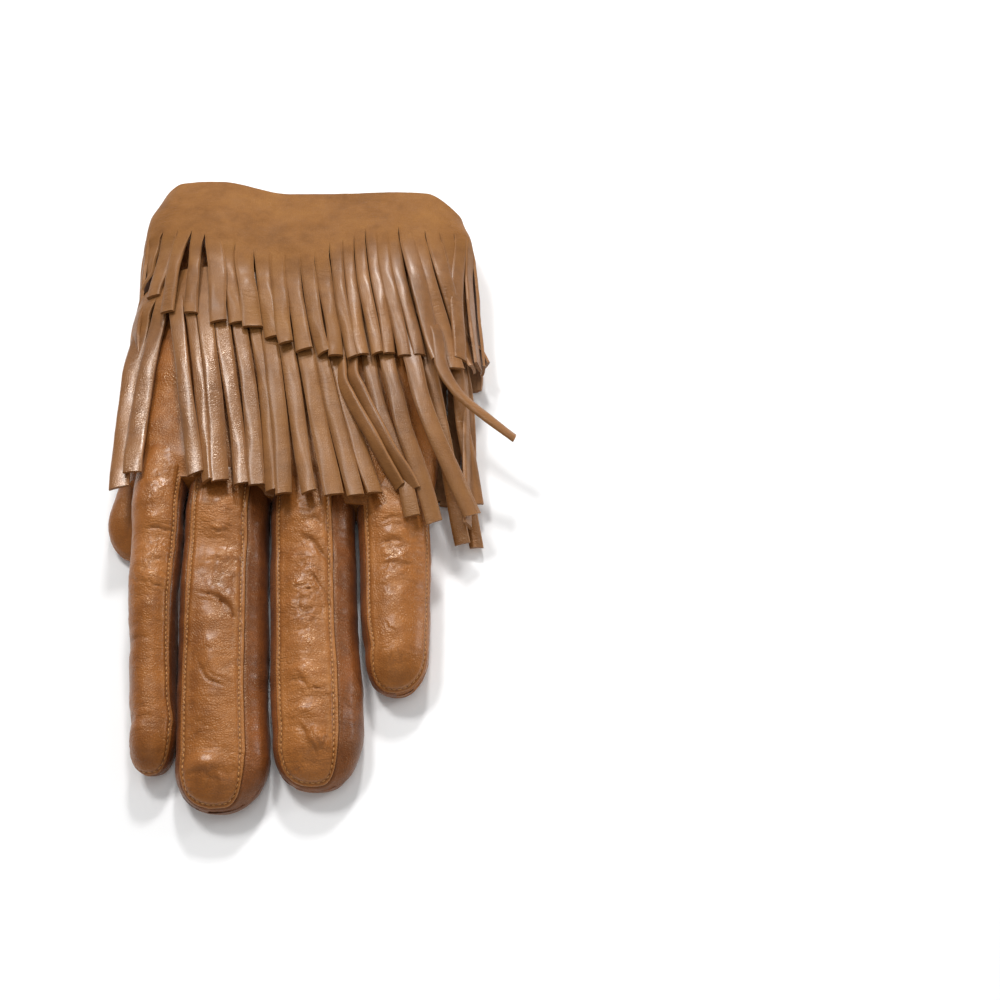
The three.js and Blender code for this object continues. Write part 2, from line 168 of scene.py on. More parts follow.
class Nodes:
    def __init__(self, name):
        self.mat = bpy.data.materials.new(name)
        self.mat.use_nodes = True
        self.t = self.mat.node_tree
        for n in list(self.t.nodes):
            self.t.nodes.remove(n)
        self.out = self.t.nodes.new("ShaderNodeOutputMaterial")
        self.bsdf = self.t.nodes.new("ShaderNodeBsdfPrincipled")
        self.t.links.new(self.bsdf.outputs[0], self.out.inputs[0])
        self.coord = self.t.nodes.new("ShaderNodeTexCoord").outputs["Object"]

    def put(self, node, socket, value):
        s = node.inputs[socket]
        if hasattr(value, "is_linked") or isinstance(value, bpy.types.NodeSocket):
            self.t.links.new(value, s)
        else:
            s.default_value = value

    def node(self, kind, sockets=(), out=0, **props):
        n = self.t.nodes.new(kind)
        for k, v in props.items():
            setattr(n, k, v)
        for k, v in dict(sockets).items():
            self.put(n, k, v)
        return n.outputs[out]

    def math(self, op, a, b=0.0, clamp=False):
        return self.node("ShaderNodeMath", {0: a, 1: b}, operation=op, use_clamp=clamp)

    def scaled(self, scale):
        return self.node("ShaderNodeMapping", {"Vector": self.coord, "Scale": scale})

    def noise(self, scale, detail=2.0, rough=0.5, vec=None, distort=0.0):
        return self.node("ShaderNodeTexNoise", {"Vector": vec or self.coord, "Scale": scale, "Detail": detail, "Roughness": rough, "Distortion": distort})

    def ramp(self, fac, stops):
        n = self.t.nodes.new("ShaderNodeValToRGB")
        self.t.links.new(fac, n.inputs[0])
        e = n.color_ramp.elements
        while len(e) < len(stops):
            e.new(0.5)
        for el, (pos, col) in zip(e, stops):
            el.position = pos
            el.color = col if len(col) == 4 else (*col, 1)
        return n.outputs[0]

    def range(self, v, a, b, c=0.0, d=1.0):
        return self.node("ShaderNodeMapRange", {"Value": v, "From Min": a, "From Max": b, "To Min": c, "To Max": d})

    def mix(self, fac, a, b, blend="MIX"):
        n = self.t.nodes.new("ShaderNodeMix")
        n.data_type = "RGBA"
        n.blend_type = blend
        self.put(n, 0, fac)
        self.put(n, 6, a)
        self.put(n, 7, b)
        return n.outputs[2]

    def attr(self, name):
        return self.node("ShaderNodeAttribute", {}, 2, attribute_name=name)

    def bump(self, height, distance, strength=1.0, normal=None):
        n = self.t.nodes.new("ShaderNodeBump")
        self.put(n, "Height", height)
        n.inputs["Distance"].default_value = distance
        n.inputs["Strength"].default_value = strength
        if normal is not None:
            self.t.links.new(normal, n.inputs["Normal"])
        return n.outputs[0]


def leather(name, light, mid, dark, rough, grain=1.0, wrinkle=1.0, coat=0.12, edge="c79a6b", tint=(1.0, 0.8, 0.55, 1.0), ripple=0.0):
    """Smooth glove leather: fine pebbled grain, pores, soft creasing, painted shade in creases and grooves, painted
    highlights on raised edges, and pale cut edges.
    """
    m = Nodes(name)
    # colour: broad clouds, finer mottling and pores
    clouds = m.noise(42.0, 3.0, 0.55)
    mottle = m.noise(260.0, 4.0, 0.6)
    blend = m.math("ADD", m.math("MULTIPLY", clouds, 0.62), m.math("MULTIPLY", mottle, 0.38))
    colour = m.ramp(blend, [(0.34, srgb(dark)), (0.5, srgb(mid)), (0.67, srgb(light))])
    cells = m.node("ShaderNodeTexVoronoi", {"Vector": m.coord, "Scale": 1500.0, "Randomness": 1.0}, 0, feature="DISTANCE_TO_EDGE")
    furrow = m.range(cells, 0.0, 0.14, 1.0, 0.0)
    colour = m.mix(m.math("MULTIPLY", furrow, 0.16 * grain), colour, srgb("4a2912"))
    # painted shade darkens creases, stitch grooves and the leather beside and under lapped edges; on the fringe this
    # attribute also carries a darker line inside each strand's edges and each strand's own random tone. Painted
    # highlights make the lapped edges, the ridges beyond the stitches and the strands' middles paler
    crease = m.attr("crease")
    colour = m.mix(m.math("MULTIPLY", crease, 0.6, True), colour, srgb("3f210d"))
    # painted highlight: paler colour on the lapped edges, on the ridges beyond the stitch rows and along the strands'
    # middles
    rub = m.attr("rub")
    colour = m.mix(m.math("MULTIPLY", rub, 0.5, True), colour, srgb("b9804a"))
    cut = m.attr("cut")
    fibre = m.noise(2600.0, 3.0, 0.7)
    cutcol = m.mix(fibre, srgb(edge), srgb("8a5a36"))
    colour = m.mix(m.math("MULTIPLY", cut, 0.8, True), colour, cutcol)
    m.put(m.bsdf, "Base Color", colour)
    # gloss
    shine = m.noise(160.0, 4.0, 0.6)
    r = m.math("ADD", m.range(shine, 0.3, 0.7, rough - 0.07, rough + 0.08), m.math("MULTIPLY", cut, 0.3))
    r = m.math("ADD", r, m.math("MULTIPLY", furrow, 0.08))
    r = m.math("SUBTRACT", r, m.math("MULTIPLY", m.attr("shine"), 0.10))
    r = m.math("ADD", r, m.math("MULTIPLY", m.attr("matt"), 0.24), True)
    m.put(m.bsdf, "Roughness", r)
    m.bsdf.inputs["IOR"].default_value = 1.48
    m.put(m.bsdf, "Specular IOR Level", m.math("ADD", m.math("MULTIPLY", m.attr("shine"), 0.35), m.math("SUBTRACT", 0.5, m.math("MULTIPLY", m.attr("matt"), 0.34))))
    m.bsdf.inputs["Specular Tint"].default_value = tint
    m.bsdf.inputs["Coat Tint"].default_value = tint
    m.put(m.bsdf, "Coat Weight", m.math("MULTIPLY", m.math("SUBTRACT", 1.0, m.attr("matt"), True), m.math("ADD", coat, m.math("MULTIPLY", m.attr("shine"), 0.3))))
    m.bsdf.inputs["Coat Roughness"].default_value = 0.24
    m.bsdf.inputs["Sheen Weight"].default_value = 0.04
    m.bsdf.inputs["Sheen Roughness"].default_value = 0.5
    # relief: soft folds, fine transverse creasing, pebbled grain, pores
    warp = m.node("ShaderNodeVectorMath", {0: m.coord, 1: m.node("ShaderNodeVectorMath", {0: m.node("ShaderNodeTexNoise", {"Vector": m.coord, "Scale": 90.0, "Detail": 2.0}, 1), 3: 0.006}, operation="SCALE")}, operation="ADD")
    across = m.node("ShaderNodeMapping", {"Vector": warp, "Scale": (170.0, 520.0, 260.0)})
    fold = m.node("ShaderNodeTexNoise", {"Vector": across, "Scale": 1.0, "Detail": 3.0, "Roughness": 0.55})
    ridge = m.math("ABSOLUTE", m.math("SUBTRACT", fold, 0.5))
    ridge = m.range(ridge, 0.0, 0.09, 0.0, 1.0)
    where = m.range(m.noise(75.0, 2.0, 0.5), 0.45, 0.66, 0.0, 1.0)
    folds = m.math("MULTIPLY", m.math("SUBTRACT", 1.0, ridge), where)
    n1 = m.bump(folds, -0.00010 * wrinkle, 0.75)
    if ripple:
        rings = m.node("ShaderNodeMapping", {"Vector": warp, "Scale": (150.0, 620.0, 150.0)})
        n1 = m.bump(m.node("ShaderNodeTexNoise", {"Vector": rings, "Scale": 1.0, "Detail": 2.0, "Roughness": 0.5}), 0.00012 * ripple, 0.7, n1)
    n2 = m.bump(m.noise(420.0, 3.0, 0.6), 0.00016 * grain, 0.55, n1)
    n3 = m.bump(m.range(cells, 0.0, 0.3, 0.0, 1.0), 0.00006 * grain, 0.8, n2)
    n4 = m.bump(m.noise(4200.0, 2.0, 0.6), 0.000022, 0.6, n3)
    m.t.links.new(n4, m.bsdf.inputs["Normal"])
    return m.mat


def suede(name, light, dark):
    m = Nodes(name)
    n = m.noise(900.0, 5.0, 0.7)
    m.put(m.bsdf, "Base Color", m.mix(n, srgb(dark), srgb(light)))
    m.bsdf.inputs["Roughness"].default_value = 0.92
    m.bsdf.inputs["Sheen Weight"].default_value = 0.3
    m.t.links.new(m.bump(n, 0.00012, 0.8), m.bsdf.inputs["Normal"])
    return m.mat


def thread(name, light, dark):
    m = Nodes(name)
    ply = m.node("ShaderNodeTexWave", {"Vector": m.coord, "Scale": 900.0, "Distortion": 2.0, "Detail": 2.0}, 1)
    m.put(m.bsdf, "Base Color", m.mix(m.noise(700.0, 2.0), srgb(dark), srgb(light)))
    m.bsdf.inputs["Roughness"].default_value = 0.55
    m.bsdf.inputs["Sheen Weight"].default_value = 0.2
    m.t.links.new(m.bump(ply, 0.00004, 0.7), m.bsdf.inputs["Normal"])
    return m.mat


BODY = leather("glove_leather", "9f622a", "8d531e", "764114", 0.36, grain=1.0, wrinkle=1.3, coat=0.12)
# the fourchettes' leather is the back's leather made darker, painting the shade that falls between the fingers
SHADED_SIDES = leather("fourchette_leather_painted_shade", "864b1e", "6c3a14", "54290e", 0.34, grain=1.1, wrinkle=1.0, coat=0.16)
FRINGE = leather("fringe_leather", "8e602f", "835629", "70471f", 0.36, grain=0.6, wrinkle=0.8, coat=0.10, edge="b98a5c", tint=(1.0, 0.84, 0.70, 1.0), ripple=1.0)
INSIDE = suede("flesh_side", "b98d62", "93683f")
THREAD = thread("seam_thread", "cf9450", "a26a2e")


# ---------------------------------------------------------------- making meshes
def build(name, verts, faces, mats, attrs=None, face_mat=None, smooth_shade=True, sharp=None):
    me = bpy.data.meshes.new(name)
    v = (np.asarray(verts, float) + SHIFT) * MM
    me.from_pydata(v.tolist(), [], [list(map(int, f)) for f in faces])
    for a, values in (attrs or {}).items():
        at = me.attributes.new(a, "FLOAT", "POINT")
        at.data.foreach_set("value", np.ascontiguousarray(values, dtype=np.float32))
    for mat in mats:
        me.materials.append(mat)
    if face_mat is not None:
        me.polygons.foreach_set("material_index", np.asarray(face_mat, dtype=np.int32))
    me.validate()
    if smooth_shade:
        me.polygons.foreach_set("use_smooth", [True] * len(me.polygons))
    if sharp:
        me.set_sharp_from_angle(angle=math.radians(sharp))
    me.update()
    ob = bpy.data.objects.new(name, me)
    bpy.context.scene.collection.objects.link(ob)
    return ob


class Soup:
    """Patches of one piece, gathered before they become one mesh."""

    def __init__(self):
        self.v, self.f, self.m, self.n = [], [], [], 0
        self.a = {"crease": [], "rub": [], "cut": [], "shine": [], "matt": []}

    def add(self, verts, faces, mat=0, **attrs):
        verts = np.asarray(verts, float).reshape(-1, 3)
        self.v.append(verts)
        self.f.extend((np.asarray(f) + self.n).tolist() for f in faces)
        self.m.extend([mat] * len(faces))
        for k in self.a:
            a = attrs.get(k)
            self.a[k].append(np.zeros(len(verts)) if a is None else np.broadcast_to(np.asarray(a, float).reshape(-1), (len(verts),)).copy())
        self.n += len(verts)

    def grid(self, P, mat=0, closed=False, flip=False, **attrs):
        """Quads over P[rows, columns, 3]."""
        R, C = P.shape[:2]
        i = np.arange(R * C).reshape(R, C)
        if closed:
            i = np.concatenate([i, i[:, :1]], 1)
        q = np.stack([i[:-1, :-1], i[:-1, 1:], i[1:, 1:], i[1:, :-1]], -1).reshape(-1, 4)
        if flip:
            q = q[:, ::-1]
        self.add(P.reshape(-1, 3), q, mat, **attrs)

    def make(self, name, mats, weld=1e-4, sharp=None):
        V = np.concatenate(self.v)
        V[:, 2] = np.maximum(V[:, 2], 0.0)
        A = {k: np.concatenate(a) for k, a in self.a.items()}
        if weld:
            key = np.round(V / weld).astype(np.int64)
            _, first, inverse = np.unique(key, axis=0, return_index=True, return_inverse=True)
            inverse = inverse.reshape(-1)
            V = V[first]
            A = {k: a[first] for k, a in A.items()}
            faces, fm = [], []
            for f, m in zip(self.f, self.m):
                g = inverse[np.asarray(f)].tolist()
                h = [x for j, x in enumerate(g) if x != g[j - 1]]
                if len(set(h)) >= 3 and len(set(h)) == len(h):
                    faces.append(h)
                    fm.append(m)
        else:
            faces, fm = self.f, self.m
        return build(name, V, faces, mats, A, fm, sharp=sharp)


def grid_normals(P):
    """Normals of a grid P[..., rows, columns, 3], pointing to columns x rows."""
    du = np.gradient(P, axis=-2)
    dv = np.gradient(P, axis=-3)
    n = np.cross(du, dv)
    return n / (np.linalg.norm(n, axis=-1, keepdims=True) + 1e-12)


# ---------------------------------------------------------------- fingers
# Creases charted from the object, in plan: x0, y0, x1, y1, depth, width, bow
CREASES = [
    (-33.6, -20.6, -25.5, -19.6, 0.45, 0.55, 0.6), (-36.4, -31.5, -29.5, -35.4, 0.30, 0.6, -0.8), (-31.0, -34.8, -25.6, -37.5, 0.35, 0.5, 0.5),
    (-34.6, -49.5, -27.0, -50.5, 0.22, 0.7, 0.6), (-30.8, -22.2, -26.2, -27.5, 0.22, 0.5, 0.3),
    (-17.6, -36.4, -6.2, -45.2, 0.62, 0.62, 1.5), (-13.0, -36.6, -5.6, -44.0, 0.40, 0.6, -1.4), (-16.2, -53.2, -6.2, -62.5, 0.45, 0.5, -1.8),
    (-18.6, -18.4, -10.6, -19.4, 0.32, 0.5, 0.3), (-18.2, -20.4, -12.2, -20.9, 0.22, 0.45, -0.3), (-17.8, -82.2, -3.0, -82.6, 0.34, 0.6, -0.6), (-14.0, -84.8, -5.0, -84.2, 0.22, 0.5, 0.5),
    (-12.0, -15.5, -6.5, -27.0, 0.35, 0.9, 1.2), (-15.6, -70.4, -8.4, -72.8, 0.16, 0.6, 0.5),
    (5.4, -18.4, 16.6, -33.6, 0.62, 0.8, 2.6), (9.8, -30.0, 16.8, -43.0, 0.40, 0.6, 1.3), (6.6, -27.4, 12.6, -28.4, 0.24, 0.6, 0.6),
    (6.6, -60.6, 13.4, -61.6, 0.36, 0.5, 0.7), (8.6, -56.6, 15.6, -64.4, 0.24, 0.5, -0.8), (5.4, -70.6, 12.6, -69.8, 0.20, 0.5, 0.4),
    (10.8, -71.0, 16.2, -79.4, 0.42, 0.55, 0.7), (16.2, -79.4, 20.2, -73.0, 0.42, 0.55, 0.7), (12.6, -74.0, 15.2, -77.6, 0.24, 0.45, -0.4),
    (27.6, -15.2, 36.0, -15.0, 0.34, 0.6, 0.4), (26.6, -22.2, 36.6, -21.2, 0.38, 0.6, 0.5), (28.6, -28.6, 38.4, -27.6, 0.36, 0.6, 0.6), (27.0, -25.2, 33.0, -25.4, 0.22, 0.45, -0.3),
    (30.4, -44.4, 34.2, -48.4, 0.22, 0.4, 0.2), (29.6, -55.2, 37.2, -54.6, 0.26, 0.5, -0.5), (27.4, -33.4, 31.6, -35.6, 0.2, 0.45, 0.2),
]
# Soft bulges between the creases: x, y, radius along x, radius along y, height
BULGES = [
    (-32.6, -8.0, 2.6, 3.4, 0.42), (-30.9, -16.2, 2.8, 2.0, 0.36), (-28.6, -26.4, 3.2, 2.0, 0.42), (-29.4, -33.6, 2.6, 1.6, 0.30), (-28.2, -42.2, 3.4, 1.9, 0.30), (-27.4, -71.0, 1.8, 6.0, 0.40),
    (-13.6, -10.2, 2.0, 4.0, 0.40), (-13.2, -17.2, 3.2, 1.4, 0.40), (-12.4, -26.2, 3.4, 2.2, 0.46), (-9.8, -31.0, 2.8, 1.8, 0.40), (-14.0, -33.6, 2.4, 2.4, 0.42), (-13.2, -43.4, 3.0, 2.2, 0.42), (-13.4, -50.0, 3.2, 2.0, 0.30),
    (-10.6, -80.6, 2.6, 1.7, 0.36), (-5.2, -84.6, 2.4, 1.5, 0.34), (-14.2, -86.0, 2.0, 1.4, 0.26),
    (8.9, -18.6, 3.0, 2.2, 0.56), (6.4, -25.0, 2.2, 1.6, 0.40), (11.0, -28.4, 2.0, 2.8, 0.36), (8.0, -33.2, 2.6, 1.9, 0.46), (8.6, -39.0, 3.0, 1.6, 0.36), (9.2, -43.6, 2.6, 1.7, 0.44), (11.0, -49.8, 3.4, 2.2, 0.54), (12.2, -57.2, 3.4, 1.7, 0.48), (13.2, -67.6, 3.0, 1.6, 0.42), (12.8, -77.0, 1.9, 1.5, 0.36), (16.8, -75.6, 1.7, 1.7, 0.34), (12.0, -82.0, 2.2, 1.4, 0.26),
    (27.4, -11.4, 2.0, 5.0, 0.60), (32.2, -18.4, 3.4, 2.2, 0.40), (32.4, -25.4, 3.6, 2.4, 0.50), (32.6, -31.4, 3.2, 1.5, 0.38), (34.2, -37.2, 3.0, 2.0, 0.44), (33.6, -47.0, 3.0, 2.4, 0.22), (36.4, -61.0, 2.6, 1.3, 0.28),
    (-36.6, 28.7, 2.6, 6.0, 0.45), (-36.0, 16.0, 2.4, 4.6, 0.42), (-34.4, 4.0, 2.6, 3.4, 0.40),
]
# Patches of crackled leather: x, y, radius along x, radius along y, depth
CRACKLE = [(9.8, -39.0, 5.2, 12.0, 0.42), (-11.8, -29.0, 4.6, 7.0, 0.35), (33.2, -24.0, 4.4, 9.0, 0.3), (-29.0, -26.0, 4.0, 9.0, 0.25), (-8.5, -84.0, 6.0, 3.2, 0.3), (34.0, -53.0, 4.5, 3.0, 0.28), (-32.0, -8.0, 4.0, 6.0, 0.3), (15.0, -63.0, 4.0, 3.0, 0.3), (10.0, -14.0, 5.5, 4.5, 0.3)]


def bulges(P):
    """Height of the soft bulges over points P, and how much each point is polished by wear."""
    x, y = P[..., 0], P[..., 1]
    x = x + 1.5 * noise(P, (3.0, 2.4, 9), 401)
    y = y + 1.1 * noise(P, (2.4, 3.0, 9), 402)
    patch = 0.72 + 0.8 * noise(P, (1.9, 1.5, 9), 403)
    h, shine = np.zeros_like(x), np.zeros_like(x)
    for cx, cy, rx, ry, high in BULGES:
        m = np.exp(-(((x - cx) / (1.12 * rx)) ** 2) - ((y - cy) / (1.1 * ry)) ** 2)
        h = h + 0.8 * high * m
        shine = np.maximum(shine, m * high * 1.7 * patch)
    return h, np.clip(shine, 0, 1)


def relief(P, top):
    """Height of folds, creases and crackle over points P, and how deep each point lies in the creases, fine lines and
    cracks, which is painted as shade. top is 1 on the back and 0 below.
    """
    x, y = P[..., 0], P[..., 1]
    h = 0.34 * fbm(P, (12, 15, 13), 3) + 0.20 * fbm(P, (5.5, 3.6, 5.5), 9)
    h = h + 0.14 * fbm(P, (9.0, 2.2, 9.0), 21) * smooth(noise(P, (14, 12, 14), 5), -0.1, 0.6)
    h = h + bulges(P)[0] * top
    deep = np.zeros_like(x)
    bent = np.stack([x, y + 0.9 * noise(P, (4, 4, 9), 51), P[..., 2]], -1)
    for seed, sc, amp, wid in ((52, (9.0, 1.9, 20.0), 0.10, 0.10), (53, (5.0, 1.15, 20.0), 0.06, 0.13)):
        line = np.exp(-((noise(bent, sc, seed) / wid) ** 2)) * smooth(noise(P, (9, 11, 20), seed + 5), -0.15, 0.5) * top
        h = h - amp * line
        # painted shade in the fine creasing lines
        deep = np.maximum(deep, 0.28 * line)
    for k, (x0, y0, x1, y1, depth, width, bow) in enumerate(CREASES):
        dx, dy = x1 - x0, y1 - y0
        L = math.hypot(dx, dy)
        ux, uy = dx / L, dy / L
        s = ((x - x0) * ux + (y - y0) * uy) / L
        near = (np.abs(s - 0.5) < 1.0) & (np.abs(-(x - x0) * uy + (y - y0) * ux) < 9)
        if not near.any():
            continue
        s0, x_, y_ = s[near], x[near], y[near]
        wob = 0.34 * np.sin(s0 * 7 + k) + 0.12 * np.sin(s0 * 17 + 2 * k) + 0.12 * noise(P[near], (1.9, 1.9, 9), 300 + k)
        d = -(x_ - x0) * uy + (y_ - y0) * ux - bow * 4 * s0 * (1 - s0) - wob
        add, dark = np.zeros_like(s0), np.zeros_like(s0)
        # the crease itself, and finer ones beside it that start and stop elsewhere
        for off, share, a0, a1 in ((0.0, 1.0, -0.10, 1.10), (1.15, 0.38, 0.15, 1.18), (-1.25, 0.34, -0.2, 0.72), (2.3, 0.2, 0.3, 0.95)):
            e = d - off * (1 + 0.35 * np.sin(s0 * 5 + off * 3 + k))
            w = 0.66 * width * (0.75 + 0.4 * smooth(s0, a0, 0.5) * (1 - smooth(s0, 0.5, a1)))
            fade = smooth(s0, a0, a0 + 0.45) * (1 - smooth(s0, a1 - 0.45, a1)) * share * (0.8 + 0.3 * noise(P[near], (3, 3, 9), 350 + k))
            groove = np.exp(-((e / w) ** 2))
            lips = np.exp(-(((e - 2.1 * w) / (1.7 * w)) ** 2)) * 0.55 + np.exp(-(((e + 2.1 * w) / (1.6 * w)) ** 2)) * 0.4
            add += depth * fade * (0.62 * lips - groove)
            # painted shade in the groove
            dark = np.maximum(dark, groove * fade * min(0.55, depth * 1.1))
        # the leather bulges on one side of a deep crease
        add += 0.75 * depth * np.exp(-(((d - 2.4) / 1.8) ** 2)) * smooth(s0, -0.1, 0.4) * (1 - smooth(s0, 0.6, 1.1))
        h[near] += add * top[near]
        deep[near] = np.maximum(deep[near], dark * top[near])
    for k, (cx, cy, rx, ry, depth) in enumerate(CRACKLE):
        m = np.exp(-(((x - cx) / rx) ** 2) - ((y - cy) / ry) ** 2) * top
        a = np.abs(noise(P + 0.8 * np.stack([noise(P, 2.5, 31), noise(P, 2.5, 32), 0 * x], -1), (2.6, 1.5, 2.6), 41 + k))
        b = np.abs(noise(P, (1.5, 1.0, 1.5), 61 + k))
        g = np.exp(-((a / 0.16) ** 2)) * 0.7 + np.exp(-((b / 0.2) ** 2)) * 0.35
        h = h + depth * m * (0.45 - g)
        # painted shade in the cracks
        deep = np.maximum(deep, 0.55 * g * m)
    return h, deep


def side_relief(P):
    return 0.48 * fbm(P, (9, 10, 8), 73) + 0.30 * fbm(P, (5, 4.6, 5), 75)


def finger_ribs(F, place, step, fan, y_root, seams, tops=(2.15, 3.2), root_drop=0.0):
    """Profiles of a finger from its ridge over its side to its underside: up one side, round the tip and back.

    Returns the dense profiles, where the two seams lie along each, and what each rib is."""
    yc = F["tip"] + F["round"]
    ys = np.linspace(y_root, yc, int((y_root - yc) / step) + 1)
    rows = F["rows"]
    L, R, H = (column(rows, k, ys) for k in (1, 2, 3))
    L = L + F.get("tuck", 0.0) * smooth(ys, -42, -8)
    cx, a = (L + R) / 2, (R - L) / 2
    H = H * (1 - root_drop * smooth(ys, -3, 22))
    n = len(ys)
    th = np.linspace(math.pi, 2 * math.pi, fan + 2)[1:-1]
    c, s = np.cos(th), np.sin(th)
    rho = (np.abs(c / a[-1]) ** 2.2 + np.abs(s / F["round"]) ** 2.2) ** (-1 / 2.2)
    X = np.concatenate([cx, np.full(fan, cx[-1]), cx[::-1]])
    Y = np.concatenate([ys, np.full(fan, yc), ys[::-1]])
    DX = np.concatenate([-np.ones(n), c, np.ones(n)])
    DY = np.concatenate([np.zeros(n), s, np.zeros(n)])
    RHO = np.concatenate([a, rho, a[::-1]])
    HH = np.concatenate([H, np.full(fan, H[-1]), H[::-1]])
    tip = np.concatenate([np.zeros(n), np.sin(th - math.pi), np.zeros(n)])
    side = np.concatenate([-np.ones(n), -np.cos(th - math.pi), np.ones(n)])
    ph = np.linspace(math.pi / 2, -math.pi / 2, 241)
    cp, sp = np.abs(np.cos(ph)), np.abs(np.sin(ph))
    up = ph >= 0
    C = np.where(up, cp ** (2 / tops[0]), cp ** (2 / tops[1]))
    S = np.where(up, sp ** (2 / tops[0]), -np.minimum(1.12 * sp ** (2 / tops[1]), 1.0))
    mid = HH * (0.44 - 0.05 * tip)
    r = RHO[:, None] * C[None]
    # the tip's underside turns up from the table a little
    low = 0.9 * tip * np.clip(1 - 0, 0, 1)
    z = np.where(up[None], mid[:, None] + (HH - mid)[:, None] * S[None], mid[:, None] + (mid - low * 0.3)[:, None] * S[None])
    # the ridge droops towards the tip
    droop = 1.3 * tip[:, None] ** 1.5 * (C[None] ** 2.0) * (S[None] > 0)
    P = place(X[:, None] + DX[:, None] * r, Y[:, None] + DY[:, None] * r, z - droop)
    arc = np.concatenate([np.zeros((len(X), 1)), np.cumsum(np.linalg.norm(np.diff(P, axis=1), axis=-1), 1)], 1)
    fl, ft, fr, bl, bt, br = seams
    # a seam runs straight on towards the tip and turns smoothly into the line that goes round it
    reach = np.concatenate([np.ones(n), a[-1] / (rho * np.abs(c) + 1e-6), np.ones(n)])
    TURN = 4.5
    cap = lambda share, most: (reach**-TURN * max(share**-TURN - most**-TURN, 0.03) + most**-TURN) ** (-1 / TURN)
    ftop = np.where(side < 0, cap(fl, ft), cap(fr, ft))
    fbot = np.where(side < 0, cap(bl, bt), cap(br, bt))
    kt = np.array([np.interp(f, C[up], np.arange(up.sum())) for f in ftop])
    low_c = C[~up]
    kb = np.array([up.sum() + np.interp(-f, -low_c, np.arange(len(low_c))) for f in fbot])
    idx = np.arange(241)
    s_top = np.array([np.interp(k, idx, row) for k, row in zip(kt, arc)])
    s_bot = np.array([np.interp(k, idx, row) for k, row in zip(kb, arc)])
    return dict(P=P, arc=arc, s_top=s_top, s_bot=s_bot, side=side, tip=tip, n=n, fan=fan)


def sample(G, targets):
    """Points of every rib at arc lengths targets[rib, column]."""
    out = np.empty((*targets.shape, 3))
    for k in range(len(G["P"])):
        for a in range(3):
            out[k, :, a] = np.interp(targets[k], G["arc"][k], G["P"][k, :, a])
    return out


EDGE = np.array([0, 0.14, 0.34, 0.6, 0.85, 1.1, 1.35, 1.6, 1.9, 2.3, 2.8])
LAP = 0.42  # how far the lapped leather stands over the piece that it is sewn on
ROW = 1.15  # from the lapped edge to the stitches
PITCH = 1.35

stitches = []


